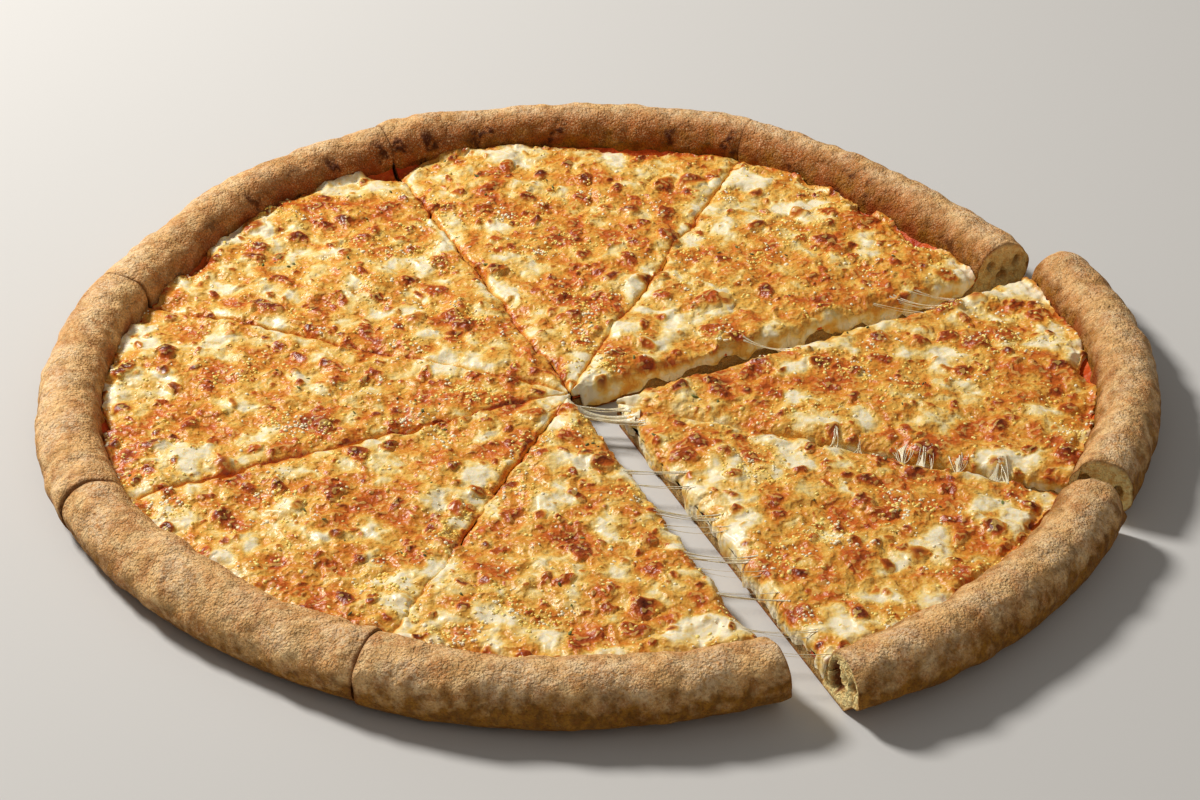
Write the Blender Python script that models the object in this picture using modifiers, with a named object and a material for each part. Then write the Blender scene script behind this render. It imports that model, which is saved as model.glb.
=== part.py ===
"""A large round cheese pizza, cut into eight slices, two of them drawn a little way out.

Every slice is three solids that lie one on the other: risen dough with its rim, a thin layer of
tomato sauce, and a layer of melted cheese with the largest seasoning grains and cheese strands
fused on. Metres, +Z up. The origin is on the underside, in the middle of the uncut round.
"""

from collections import namedtuple
from math import atan2, copysign, cos, pi, radians, sin
from random import Random

import bmesh
import bpy
from mathutils import Matrix, Vector, noise
from mathutils.bvhtree import BVHTree

# The uncut round. Its outline isn't a true circle: this is its radius at even turns from +X,
# anticlockwise, as the dough was stretched by hand.
OUTLINE_RADII = (
    0.1726, 0.1725, 0.1700, 0.1755, 0.1757, 0.1786, 0.1805, 0.1786,
    0.1807, 0.1796, 0.1736, 0.1697, 0.1690, 0.1695, 0.1672, 0.1670,
)
NOMINAL_RADIUS = 0.1755

# Dough: a flat base and a risen rim.
RIM_WIDTH = 0.0215
RIM_HEIGHT = 0.0205
RIM_WIDEST_HEIGHT = 0.0095
RIM_PROFILE_STEPS = 13
RIM_SEGMENTS = 104
UNDERSIDE_SQUARENESS = 0.9
BASE_HEIGHT = 0.0055
SWELL_SIZE = 0.034
SWELL_DEPTH = 0.0014
LUMP_SIZE = 0.012
LUMP_DEPTH = 0.0006

# The rim curls up off the table on both sides of the wide gap.
CURL_AT = 292.5
CURL_SPREAD = 34.0
CURL_SHARE = 0.5
CURL_REACH = 0.6

# Layers on the base. LAYER_GAP keeps stacked solids apart.
LAYER_GAP = 0.0003
SAUCE_THICKNESS = 0.0010
SAUCE_RIM_GAP = 0.0012
SAUCE_ROWS = 8
CHEESE_THICKNESS = 0.0040
CHEESE_ROWS = 24
CHEESE_RIM_GAP = 0.0017
CHEESE_RAGGED = 0.0085
RAGGED_SIZE = 0.021
CHEESE_EDGE_SHARE = 0.62
CHEESE_OUTER_SHARE = 0.4
CHEESE_EDGE_WIDTH = 0.0046
EDGE_SAG_SIZE = 0.015
MELT_SIZE = 0.024
MELT_DEPTH = 0.0018
BLISTER_SIZE = 0.010
BLISTER_DEPTH = 0.0020

# The cuts, which meet a little off the middle.
CUT_CENTRE = Vector((-0.0065, -0.0060, 0.0))
KNIFE_GAP = 0.0007
LAYER_INSET = 0.0002

# Each slice's cuts in degrees, how far it has slid and turned, and how much longer than the
# outline it was pulled at either cut.
Slice = namedtuple("Slice", "number first_cut last_cut slide turn first_pull last_pull")
SLICES = (
    Slice(1, 26.2, 67.8, (0.0, 0.0), 0.0, -0.0005, 0.0),
    Slice(2, 67.8, 114.6, (0.0003, 0.0008), 0.0, 0.0, 0.0),
    Slice(3, 114.6, 160.4, (0.0, 0.0), 0.0, 0.0, 0.0),
    Slice(4, 160.4, 203.5, (-0.0006, 0.0), 0.0, 0.0, 0.0),
    Slice(5, 203.5, 247.7, (0.0002, -0.0004), 0.0, 0.0, 0.0),
    Slice(6, 247.7, 293.6, (0.0004, -0.0018), 0.0, 0.0, -0.0026),
    Slice(7, 293.6, 339.4, (0.0158, -0.0058), 0.6, 0.0, -0.0010),
    Slice(8, 341.4, 386.2, (0.0148, -0.0046), 0.6, 0.0002, 0.0022),
)

# Holes in the baked crumb, at the rim ends that the drawn slices leave bare.
BARE_RIM_ENDS = ((1, "first"), (6, "last"), (7, "first"), (7, "last"), (8, "first"), (8, "last"))
PORES_PER_END = 3
PORE_SPACING = 0.0055
PORE_SCATTER = 0.0008
PORE_HEIGHTS = (0.0073, 0.0133)
PORE_RADII = (0.0016, 0.0031)
PORE_SHAPE = (0.8, 1.25, 0.9, 1.0)
PORE_SINK = 0.0004
PORE_SEED = 5

# Seasoning grains that are large enough to show from a step away.
GRAINS_PER_SLICE = 10
GRAIN_RADII = (0.0007, 0.0010)
GRAIN_SUNK = 0.3
GRAIN_SCATTER = 0.3
GRAIN_MARGIN = 0.16
GRAIN_REACH = 0.95
GRAIN_SEED = 11

# Strands of melted cheese, drawn across the gaps. Each is fused to its own slice at a distance
# from the tip, and ends just short of the slice that it was drawn from.
Strand = namedtuple("Strand", "slice side other distances radius")
STRANDS = (
    Strand(7, "first", 6, (0.010,), 0.0016),
    Strand(7, "first", 6, (0.046, 0.070, 0.094), 0.0007),
    Strand(8, "last", 1, (0.066, 0.124), 0.0007),
    Strand(8, "first", 7, (0.074, 0.082, 0.097, 0.104, 0.128), 0.0009),
)
STRAND_SIDES = 6
STRAND_ROOT = 0.0022
STRAND_END_GAP = 0.0005
STRAND_TAPER = 0.55

SAUCE_BOTTOM = BASE_HEIGHT + LAYER_GAP
CHEESE_BOTTOM = SAUCE_BOTTOM + SAUCE_THICKNESS + LAYER_GAP

DOUGH_COLOUR = (0.62, 0.36, 0.16)
DOUGH_ROUGHNESS = 0.8
SAUCE_COLOUR = (0.50, 0.08, 0.02)
SAUCE_ROUGHNESS = 0.45
CHEESE_COLOUR = (0.80, 0.48, 0.14)
CHEESE_ROUGHNESS = 0.4
SHARP_ANGLE = radians(50.0)


def clear_scene():
    for obj in list(bpy.data.objects):
        bpy.data.objects.remove(obj, do_unlink=True)


def make_collection(name, hidden=False):
    made = bpy.data.collections.new(name)
    made.hide_render = hidden
    bpy.context.scene.collection.children.link(made)
    return made


def make_material(name, colour, roughness):
    made = bpy.data.materials.new(name)
    made.use_nodes = True
    shader = made.node_tree.nodes["Principled BSDF"]
    shader.inputs["Base Color"].default_value = (*colour, 1.0)
    shader.inputs["Roughness"].default_value = roughness
    shader.inputs["Metallic"].default_value = 0.0
    return made


def eased(value):
    t = min(1.0, max(0.0, value))
    return t * t * (3.0 - 2.0 * t)


def outline_radius(angle):
    """The round's radius at an angle, by a smooth curve through OUTLINE_RADII."""
    count = len(OUTLINE_RADII)
    place = angle / (2.0 * pi) * count
    index = int(place // 1.0)
    t = place - index
    a, b, c, d = (OUTLINE_RADII[(index + k) % count] for k in (-1, 0, 1, 2))
    return 0.5 * (2.0 * b + (c - a) * t + (2.0 * a - 5.0 * b + 4.0 * c - d) * t**2
                  + (3.0 * b - a - 3.0 * c + d) * t**3)


def slice_radius(piece, angle):
    """The slice's own outline: the round's, and its pull shared out between its two cuts."""
    middle = radians(piece.first_cut + piece.last_cut) / 2.0
    from_middle = (angle - middle + pi) % (2.0 * pi) - pi
    share = 0.5 + from_middle / radians(piece.last_cut - piece.first_cut)
    share = min(1.0, max(0.0, share))
    return outline_radius(angle) + piece.first_pull * (1.0 - share) + piece.last_pull * share


def squared_off(value, power):
    return copysign(abs(value) ** power, value)


def dough_profile():
    """The rim's section as (radius, height), from its inner foot over the top to the underside."""
    points = [(NOMINAL_RADIUS - RIM_WIDTH, BASE_HEIGHT)]
    middle = NOMINAL_RADIUS - RIM_WIDTH / 2.0
    for step in range(RIM_PROFILE_STEPS + 1):
        turn = pi - 1.5 * pi * step / RIM_PROFILE_STEPS
        across, up = cos(turn), sin(turn)
        if turn >= 0.0:
            height = RIM_WIDEST_HEIGHT + (RIM_HEIGHT - RIM_WIDEST_HEIGHT) * up
        else:
            across = squared_off(across, UNDERSIDE_SQUARENESS)
            height = RIM_WIDEST_HEIGHT * (1.0 + squared_off(up, UNDERSIDE_SQUARENESS))
        points.append((middle + RIM_WIDTH / 2.0 * across, height))
    points[-1] = (middle, 0.0)
    return points


def turned_rim():
    """A mesh of the whole round's rim, turned from its section and open in the middle."""
    mesh = bpy.data.meshes.new("dough_section")
    points = dough_profile()
    mesh.from_pydata([(r, 0.0, z) for r, z in points], [(i, i + 1) for i in range(len(points) - 1)], [])
    section = bpy.data.objects.new("dough_section", mesh)
    bpy.context.scene.collection.objects.link(section)
    turn = section.modifiers.new("Turn", "SCREW")
    turn.steps = turn.render_steps = RIM_SEGMENTS
    turn.use_merge_vertices = True
    turn.merge_threshold = 0.00001
    graph = bpy.context.evaluated_depsgraph_get()
    turned = bpy.data.meshes.new_from_object(section.evaluated_get(graph))
    bpy.data.objects.remove(section)
    bpy.data.meshes.remove(mesh)
    return turned


def curl(angle, radius, z):
    """How far the rim's underside curls up off the table at a point of the turned section."""
    middle = NOMINAL_RADIUS - RIM_WIDTH / 2.0
    from_gap = abs((angle - radians(CURL_AT) + pi) % (2.0 * pi) - pi)
    near_gap = eased(1.0 - from_gap / radians(CURL_SPREAD))
    outside = eased((radius - middle) / (CURL_REACH * RIM_WIDTH / 2.0))
    return max(0.0, RIM_WIDEST_HEIGHT - z) * CURL_SHARE * near_gap * outside


def shape_rim(mesh, piece):
    """Stretches the rim to the slice's outline and raises the swells and lumps of its crust."""
    for vertex in mesh.verts:
        x, y, z = vertex.co
        radius = Vector((x, y)).length
        angle = atan2(y, x)
        outward = Vector((cos(angle), sin(angle), 0.0))
        stretch = slice_radius(piece, angle) - NOMINAL_RADIUS
        place = outward * (radius + stretch) + Vector((0.0, 0.0, z + curl(angle, radius, z)))
        risen = max(0.0, z - BASE_HEIGHT) / (RIM_HEIGHT - BASE_HEIGHT)
        from_ring = (outward * (radius - NOMINAL_RADIUS + RIM_WIDTH / 2.0)
                     + Vector((0.0, 0.0, z - RIM_WIDEST_HEIGHT))).normalized()
        swell = SWELL_DEPTH * noise.noise(place / SWELL_SIZE)
        lump = LUMP_DEPTH * noise.noise(place / LUMP_SIZE)
        vertex.co = place + from_ring * (swell + lump) * min(1.0, 2.0 * risen)


def cut_direction(degrees):
    return Vector((cos(radians(degrees)), sin(radians(degrees)), 0.0))


def cut_planes(piece, inset):
    """For both cuts, (a point on the plane, the normal that points into the slice)."""
    first, last = cut_direction(piece.first_cut), cut_direction(piece.last_cut)
    inward_first = Vector((-first.y, first.x, 0.0))
    inward_last = Vector((last.y, -last.x, 0.0))
    return [(CUT_CENTRE + inward * inset, inward) for inward in (inward_first, inward_last)]


def slice_tip(piece, inset):
    """The corner where both cut planes meet, once they are set in."""
    half = radians(piece.last_cut - piece.first_cut) / 2.0
    bisector = cut_direction((piece.first_cut + piece.last_cut) / 2.0)
    return CUT_CENTRE + bisector * (inset / sin(half))


def close_holes(mesh):
    edges = [edge for edge in mesh.edges if edge.is_boundary]
    bmesh.ops.holes_fill(mesh, edges=edges, sides=0)


def dough_wedge(rim, piece):
    """The slice's share of the whole round's dough, between its two cut planes."""
    mesh = bmesh.new()
    mesh.from_mesh(rim)
    shape_rim(mesh, piece)
    close_holes(mesh)
    for point, inward in cut_planes(piece, KNIFE_GAP / 2.0):
        geometry = mesh.verts[:] + mesh.edges[:] + mesh.faces[:]
        bmesh.ops.bisect_plane(mesh, geom=geometry, plane_co=point, plane_no=inward, clear_inner=True)
        close_holes(mesh)
    bmesh.ops.recalc_face_normals(mesh, faces=mesh.faces)
    return mesh


def reach_to_outline(piece, start, direction, shortfall):
    """How far from start, along direction, the slice's outline less shortfall lies."""
    distance = NOMINAL_RADIUS
    for _ in range(4):
        place = start + direction * distance
        distance += slice_radius(piece, atan2(place.y, place.x)) - shortfall(place) - place.length
    return distance


def sauce_shortfall(place):
    return RIM_WIDTH + SAUCE_RIM_GAP


def cheese_shortfall(place):
    """The cheese stops near the rim, and here and there it leaves a bay of bare sauce."""
    bay = max(0.0, noise.noise(Vector((place.x, place.y, 0.0)) / RAGGED_SIZE))
    return RIM_WIDTH + CHEESE_RIM_GAP + CHEESE_RAGGED * bay


def cheese_relief(place):
    """How far the melted cheese stands above or below its mean height."""
    flat = Vector((place.x, place.y, 0.0))
    melt = MELT_DEPTH * noise.noise(flat / MELT_SIZE)
    blister = BLISTER_DEPTH * max(0.0, noise.noise(flat / BLISTER_SIZE))
    return melt + blister


def layer_wedge(piece, rows, bottom, shortfall, top_height):
    """A flat-bottomed layer of a slice. Its top is a triangle split into even rows, fanned out
    from the slice's tip to its outline; top_height(place, to_cut, to_outline) gives its height."""
    inset = KNIFE_GAP / 2.0 + LAYER_INSET
    tip = slice_tip(piece, inset)
    planes = cut_planes(piece, inset)
    mesh = bmesh.new()
    corners = [mesh.verts.new(c) for c in ((0.0, 0.0, 0.0), (1.0, 0.0, 0.0), (0.0, 1.0, 0.0))]
    mesh.faces.new(corners)
    bmesh.ops.subdivide_edges(mesh, edges=mesh.edges[:], cuts=rows - 1, use_grid_fill=True)
    under = mesh.faces[:]
    raised = bmesh.ops.extrude_face_region(mesh, geom=under, use_keep_orig=True)
    tops = {v for v in raised["geom"] if isinstance(v, bmesh.types.BMVert)}
    for vertex in mesh.verts:
        along = vertex.co.x + vertex.co.y
        share = vertex.co.y / along if along > 0.0 else 0.5
        degrees = piece.first_cut + share * (piece.last_cut - piece.first_cut)
        direction = cut_direction(degrees)
        reach = reach_to_outline(piece, tip, direction, shortfall)
        place = tip + direction * (reach * along)
        if vertex in tops:
            to_cut = min((place - point).dot(inward) for point, inward in planes)
            place.z = top_height(place, to_cut, reach * (1.0 - along))
        else:
            place.z = bottom
        vertex.co = place
    bmesh.ops.dissolve_faces(mesh, faces=under)
    bmesh.ops.recalc_face_normals(mesh, faces=mesh.faces)
    return mesh


def sauce_top(place, to_cut, to_outline):
    return SAUCE_BOTTOM + SAUCE_THICKNESS


def cheese_top(place, to_cut, to_outline):
    """The cheese sags towards the cuts, unevenly, and thins out towards the rim."""
    sag = 1.0 + noise.noise(Vector((place.x, place.y, 0.0)) / EDGE_SAG_SIZE)
    at_cut = CHEESE_EDGE_SHARE + (1.0 - CHEESE_EDGE_SHARE) * eased(to_cut / CHEESE_EDGE_WIDTH / sag)
    at_rim = CHEESE_OUTER_SHARE + (1.0 - CHEESE_OUTER_SHARE) * eased(to_outline / CHEESE_EDGE_WIDTH)
    return CHEESE_BOTTOM + (CHEESE_THICKNESS + cheese_relief(place)) * at_cut * at_rim


def slice_pose(piece):
    """Where the slice lies now: slid, and turned about the cuts' centre."""
    slide = Vector((*piece.slide, 0.0))
    return (Matrix.Translation(CUT_CENTRE + slide) @ Matrix.Rotation(radians(piece.turn), 4, "Z")
            @ Matrix.Translation(-CUT_CENTRE))


def edge_point(piece, side, distance, height, outward):
    """A point beside one of the slice's cuts, outward from the cheese by that much."""
    degrees = piece.first_cut if side == "first" else piece.last_cut
    inward = cut_planes(piece, 0.0)[0 if side == "first" else 1][1]
    inset = KNIFE_GAP / 2.0 + LAYER_INSET - outward
    return CUT_CENTRE + cut_direction(degrees) * distance + inward * inset + Vector((0.0, 0.0, height))


def strand_mesh(start, end, radius):
    """A tapered strand, thick where it leaves its own slice."""
    mesh = bmesh.new()
    span = end - start
    place = Matrix.Translation((start + end) / 2.0) @ span.to_track_quat("Z", "Y").to_matrix().to_4x4()
    bmesh.ops.create_cone(mesh, cap_ends=True, segments=STRAND_SIDES, radius1=radius,
                          radius2=radius * STRAND_TAPER, depth=span.length, matrix=place)
    return mesh


def strand_meshes(piece):
    """The strands fused to this slice, in the uncut round's place."""
    made = []
    own_pose = slice_pose(piece)
    for strand in STRANDS:
        if strand.slice != piece.number:
            continue
        other = SLICES[strand.other - 1]
        other_side = "last" if strand.side == "first" else "first"
        to_own = own_pose.inverted() @ slice_pose(other)
        for distance in strand.distances:
            height = CHEESE_BOTTOM + CHEESE_THICKNESS * CHEESE_EDGE_SHARE / 2.0
            start = edge_point(piece, strand.side, distance, height, -STRAND_ROOT)
            end = to_own @ edge_point(other, other_side, distance, height, STRAND_END_GAP)
            made.append(strand_mesh(start, end, strand.radius))
    return made


def grain_meshes(piece, cheese):
    """Seasoning grains, half sunk in the cheese at places drawn by a seeded rule."""
    surface = BVHTree.FromBMesh(cheese)
    draw = Random(GRAIN_SEED + piece.number)
    tip = slice_tip(piece, KNIFE_GAP)
    made = []
    for index in range(GRAINS_PER_SLICE):
        scatter = GRAIN_SCATTER * draw.uniform(-1.0, 1.0)
        along = ((index + 0.5 + scatter) / GRAINS_PER_SLICE) ** 0.5
        share = draw.uniform(GRAIN_MARGIN, 1.0 - GRAIN_MARGIN)
        direction = cut_direction(piece.first_cut + share * (piece.last_cut - piece.first_cut))
        reach = reach_to_outline(piece, tip, direction, cheese_shortfall)
        place = tip + direction * (reach * along * GRAIN_REACH)
        radius = draw.uniform(*GRAIN_RADII)
        hit = surface.ray_cast(place + Vector((0.0, 0.0, RIM_HEIGHT)), Vector((0.0, 0.0, -1.0)))[0]
        turn = Matrix.Rotation(draw.uniform(0.0, pi), 4, "Z")
        lift = Vector((0.0, 0.0, radius * (1.0 - 2.0 * GRAIN_SUNK)))
        grain = bmesh.new()
        bmesh.ops.create_icosphere(grain, subdivisions=1, radius=radius,
                                   matrix=Matrix.Translation(hit + lift) @ turn)
        made.append(grain)
    return made


def pore_meshes(piece):
    """Rounded holes that open on the slice's bare rim ends."""
    draw = Random(PORE_SEED + piece.number)
    made = []
    for side in ("first", "last"):
        if (piece.number, side) not in BARE_RIM_ENDS:
            continue
        direction = cut_direction(piece.first_cut if side == "first" else piece.last_cut)
        inward = cut_planes(piece, 0.0)[0 if side == "first" else 1][1]
        rim_middle = reach_to_outline(piece, CUT_CENTRE, direction, lambda place: RIM_WIDTH / 2.0)
        for index in range(PORES_PER_END):
            across = PORE_SPACING * (index - 1) + draw.uniform(-PORE_SCATTER, PORE_SCATTER)
            height = draw.uniform(*PORE_HEIGHTS)
            radius = draw.uniform(*PORE_RADII)
            centre = CUT_CENTRE + direction * (rim_middle + across) + inward * (KNIFE_GAP / 2.0 + PORE_SINK)
            place = (Matrix.Translation(centre + Vector((0.0, 0.0, height)))
                     @ inward.to_track_quat("Y", "Z").to_matrix().to_4x4() @ Matrix.Diagonal(PORE_SHAPE))
            pore = bmesh.new()
            bmesh.ops.create_icosphere(pore, subdivisions=1, radius=radius, matrix=place)
            made.append(pore)
    return made


def add_object(name, mesh, collection, material=None):
    data = bpy.data.meshes.new(name)
    mesh.to_mesh(data)
    mesh.free()
    made = bpy.data.objects.new(name, data)
    if material:
        data.materials.append(material)
    collection.objects.link(made)
    return made


def combine(obj, tools, operation, collection):
    """Joins or cuts obj with all the tool meshes at once, and removes them."""
    if not tools:
        return
    for index, tool in enumerate(tools):
        add_object(f"{obj.name}_tool_{index}", tool, collection)
    change = obj.modifiers.new("Combine", "BOOLEAN")
    change.operation = operation
    change.solver = "EXACT"
    change.operand_type = "COLLECTION"
    change.collection = collection
    graph = bpy.context.evaluated_depsgraph_get()
    result = bpy.data.meshes.new_from_object(obj.evaluated_get(graph))
    obj.modifiers.remove(change)
    replaced = obj.data
    obj.data = result
    bpy.data.meshes.remove(replaced)
    for tool in list(collection.objects):
        bpy.data.objects.remove(tool, do_unlink=True)


def build():
    clear_scene()
    pizza = make_collection("pizza")
    tools = make_collection("tools", hidden=True)
    dough_material = make_material("baked_dough", DOUGH_COLOUR, DOUGH_ROUGHNESS)
    sauce_material = make_material("tomato_sauce", SAUCE_COLOUR, SAUCE_ROUGHNESS)
    cheese_material = make_material("melted_cheese", CHEESE_COLOUR, CHEESE_ROUGHNESS)
    rim = turned_rim()
    for piece in SLICES:
        holder = bpy.data.objects.new(f"slice_{piece.number}", None)
        holder.matrix_world = slice_pose(piece)
        pizza.objects.link(holder)

        dough = add_object(f"slice_{piece.number}_dough", dough_wedge(rim, piece), pizza, dough_material)
        combine(dough, pore_meshes(piece), "DIFFERENCE", tools)

        sauce_mesh = layer_wedge(piece, SAUCE_ROWS, SAUCE_BOTTOM, sauce_shortfall, sauce_top)
        sauce = add_object(f"slice_{piece.number}_sauce", sauce_mesh, pizza, sauce_material)

        cheese_mesh = layer_wedge(piece, CHEESE_ROWS, CHEESE_BOTTOM, cheese_shortfall, cheese_top)
        toppings = grain_meshes(piece, cheese_mesh) + strand_meshes(piece)
        cheese = add_object(f"slice_{piece.number}_cheese", cheese_mesh, pizza, cheese_material)
        combine(cheese, toppings, "UNION", tools)

        for solid in (dough, sauce, cheese):
            solid.data.shade_smooth()
            solid.data.set_sharp_from_angle(angle=SHARP_ANGLE)
            solid.parent = holder
    bpy.data.meshes.remove(rim)


build()
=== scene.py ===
"""A large cheese pizza, cut into eight slices, two of them drawn a little way out.

Each slice is baked dough with a risen rim, a thin layer of tomato sauce and a layer of browned
melted cheese. Seasoning grains, herb flakes and drawn strands of cheese lie on and between them.
Metres, +Z up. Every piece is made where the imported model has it.
"""
from collections import namedtuple
from math import cos, pi, radians, sin
from random import Random

import bmesh
import bpy
import numpy as np
from mathutils import Euler, Matrix, Vector, noise


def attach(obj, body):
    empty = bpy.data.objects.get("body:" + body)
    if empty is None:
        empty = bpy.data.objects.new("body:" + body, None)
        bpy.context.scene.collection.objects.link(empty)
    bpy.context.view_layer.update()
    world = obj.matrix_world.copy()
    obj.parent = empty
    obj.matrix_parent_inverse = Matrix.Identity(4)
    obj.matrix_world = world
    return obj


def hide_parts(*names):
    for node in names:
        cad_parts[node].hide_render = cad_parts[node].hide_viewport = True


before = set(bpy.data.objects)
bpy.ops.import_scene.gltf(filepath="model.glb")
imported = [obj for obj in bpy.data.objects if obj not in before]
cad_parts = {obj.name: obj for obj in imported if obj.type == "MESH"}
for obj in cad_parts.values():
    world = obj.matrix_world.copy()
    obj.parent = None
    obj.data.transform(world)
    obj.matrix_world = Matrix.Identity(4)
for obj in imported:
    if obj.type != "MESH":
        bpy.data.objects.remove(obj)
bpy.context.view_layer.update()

# The dough of each slice: a flat base that rises into the rim, stretched by hand and baked until
# its skin browns. A slice is made as its side face, swept across from one cut to the other, so
# both cut faces carry a grid of their own, which the holes of the crumb are pressed into.
OUTLINE_RADII = np.array((
    0.1726, 0.1725, 0.1700, 0.1755, 0.1757, 0.1786, 0.1805, 0.1786,
    0.1807, 0.1796, 0.1736, 0.1697, 0.1690, 0.1695, 0.1672, 0.1670,
))
NOMINAL_RADIUS = 0.1755
RIM_WIDTH = 0.0215
RIM_HEIGHT = 0.0205
RIM_WIDEST_HEIGHT = 0.0095
UNDERSIDE_SQUARENESS = 0.9
BASE_HEIGHT = 0.0055
SWELL_SIZE, SWELL_DEPTH = 0.034, 0.0014
LUMP_SIZE, LUMP_DEPTH = 0.012, 0.0006
BULGE_SIZE, BULGE_DEPTH = 0.0080, 0.0008
DIMPLE_SIZE, DIMPLE_DEPTH = 0.0042, 0.00042
PIT_SIZE, PIT_DEPTH = 0.0021, 0.0004
SECTION_RADIUS, RIM_LINE_RADIUS, BULGE_STRETCH = 0.0145, 0.165, 0.6
CURL_AT, CURL_SPREAD, CURL_SHARE, CURL_REACH = 292.5, 34.0, 0.5, 0.6
CUT_CENTRE = np.array((-0.0065, -0.0060))
KNIFE_GAP = 0.0007
BASE_STEPS, RIM_STEPS, LAYERS, COLUMNS = 96, 46, 13, 250
MERGE_DISTANCE = 0.000002
SHARP_ANGLE = radians(70.0)

Slice = namedtuple("Slice", "number first_cut last_cut slide turn first_pull last_pull")
SLICES = (
    Slice(1, 26.2, 67.8, (0.0, 0.0), 0.0, -0.0005, 0.0),
    Slice(2, 67.8, 114.6, (0.0003, 0.0008), 0.0, 0.0, 0.0),
    Slice(3, 114.6, 160.4, (0.0, 0.0), 0.0, 0.0, 0.0),
    Slice(4, 160.4, 203.5, (-0.0006, 0.0), 0.0, 0.0, 0.0),
    Slice(5, 203.5, 247.7, (0.0002, -0.0004), 0.0, 0.0, 0.0),
    Slice(6, 247.7, 293.6, (0.0004, -0.0018), 0.0, 0.0, -0.0026),
    Slice(7, 293.6, 339.4, (0.0158, -0.0058), 0.6, 0.0, -0.0010),
    Slice(8, 341.4, 386.2, (0.0148, -0.0046), 0.6, 0.0002, 0.0022),
)

BARE_RIM_ENDS = ((1, "first"), (6, "last"), (7, "first"), (7, "last"), (8, "first"), (8, "last"))
PORES_PER_END = 3
PORE_SPACING, PORE_SCATTER = 0.0055, 0.0008
PORE_HEIGHTS, PORE_RADII = (0.0073, 0.0133), (0.0016, 0.0031)
PORE_SHAPE = (0.8, 1.25, 0.9)
PORE_SEED = 5
CAVITY_END, CAVITY_INWARD, CAVITY_HEIGHT = (7, "first"), 0.0050, 0.0085
CAVITY_RADII, CAVITY_DEPTH = (0.0034, 0.0058), 0.0036
BUBBLE_SIZE, BUBBLE_DEPTH = 0.0026, 0.0007
FINE_BUBBLE_SIZE, FINE_BUBBLE_DEPTH = 0.0011, 0.0003
BUBBLE_FADE = 400.0
SHADED_HOLE_DEPTH = 0.0012
END_ROUNDING = {
    (7, "last"): 0.0036, (8, "last"): 0.0030, (6, "last"): 0.0014, (7, "first"): 0.0012,
    (5, "first"): 0.0007, (4, "last"): 0.0006, (5, "last"): 0.0006, (6, "first"): 0.0008,
}
USUAL_ROUNDING, LONG_ROUNDING, ROUNDING_REACH = 0.0005, 0.0015, 0.0045
END_LEAN = {
    (2, "last"): 0.0007, (3, "first"): 0.0007, (3, "last"): 0.0005, (4, "first"): 0.0005,
    (1, "last"): 0.0005, (2, "first"): 0.0005, (5, "last"): 0.0005, (6, "first"): 0.0005,
}
USUAL_LEAN, LEAN_REACH = 0.0003, 0.0035
SEAM_WIDTH, SEAM_FRAY_SIZE, SEAM_FRAY_DEPTH = 0.0010, 0.0035, 0.0005
SKIN_ACROSS, SKIN_OUTWARD, SKIN_UNDER_BASE = 0.09, 0.12, 0.3
# Painted shade: on the base's cut faces, and on slice 1's, the crumb shows only in part, so the
# darker skin colour low down stands in for their shade.
SHADED_BASE_CRUMB, SHADED_CRUMB = 0.3, {1: 0.6}
SCORCH_SIZE, SCORCH_DRIFT = 0.0052, 0.017
STAIN_SIZE, FLOUR_DRIFT = 0.009, 0.013
# Painted light: on the left, where the lamp falls, the rim's colour is lifted.
PAINTED_LIGHT_LIFT = 0.26


def eased(value):
    t = np.clip(value, 0.0, 1.0)
    return t * t * (3.0 - 2.0 * t)


def between(low, high, value):
    """0 below low, 1 above high, and a smooth rise between them."""
    return eased((value - low) / (high - low))


GRADIENTS = np.random.default_rng(3).normal(size=(32 * 32 * 32, 3))
GRADIENTS = (GRADIENTS / np.linalg.norm(GRADIENTS, axis=-1, keepdims=True)).astype(np.float32)


def cloud(points, size, seed=0.0):
    """Smooth noise, about -1 to 1, at every point: its lumps are about size apart."""
    if points.shape[1] == 2:
        points = np.column_stack([points, np.zeros(len(points))])
    place = points / size + (seed * 7.31, seed * 3.17, seed * 5.53)
    cell = np.floor(place)
    part = (place - cell).astype(np.float32).T
    cell = cell.astype(np.int32).T
    ease = part * part * part * (part * (part * 6.0 - 15.0) + 10.0)
    total = np.zeros(len(points), np.float32)
    for corner in np.ndindex(2, 2, 2):
        x, y, z = ((cell[axis] + corner[axis]) & 31 for axis in range(3))
        slope = GRADIENTS[(x * 32 + y) * 32 + z].T
        value = sum(slope[axis] * (part[axis] - corner[axis]) for axis in range(3))
        for axis in range(3):
            value = value * (ease[axis] if corner[axis] else 1.0 - ease[axis])
        total += value
    return total.astype(float) * 1.6


def outline_radius(angle):
    """The round's radius at each angle, by a smooth curve through OUTLINE_RADII."""
    count = len(OUTLINE_RADII)
    place = angle / (2.0 * pi) * count
    index = np.floor(place).astype(int)
    t = place - index
    a, b, c, d = (OUTLINE_RADII[(index + k) % count] for k in (-1, 0, 1, 2))
    return 0.5 * (2.0 * b + (c - a) * t + (2.0 * a - 5.0 * b + 4.0 * c - d) * t**2
                  + (3.0 * b - a - 3.0 * c + d) * t**3)


def slice_radius(piece, angle):
    """The slice's own outline: the round's, and its pull shared out between its two cuts."""
    middle = radians(piece.first_cut + piece.last_cut) / 2.0
    from_middle = (angle - middle + pi) % (2.0 * pi) - pi
    share = np.clip(0.5 + from_middle / radians(piece.last_cut - piece.first_cut), 0.0, 1.0)
    return outline_radius(angle) + piece.first_pull * (1.0 - share) + piece.last_pull * share


def aim(degrees):
    turn = np.radians(np.asarray(degrees, float))
    return np.stack([np.cos(turn), np.sin(turn)], axis=-1)


def cut_inward(piece):
    """For both cuts, the level direction that points into the slice."""
    first, last = aim(piece.first_cut), aim(piece.last_cut)
    return np.array((-first[1], first[0])), np.array((last[1], -last[0]))


def slice_tip(piece, inset):
    half = radians(piece.last_cut - piece.first_cut) / 2.0
    return CUT_CENTRE + aim((piece.first_cut + piece.last_cut) / 2.0) * (inset / sin(half))


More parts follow.
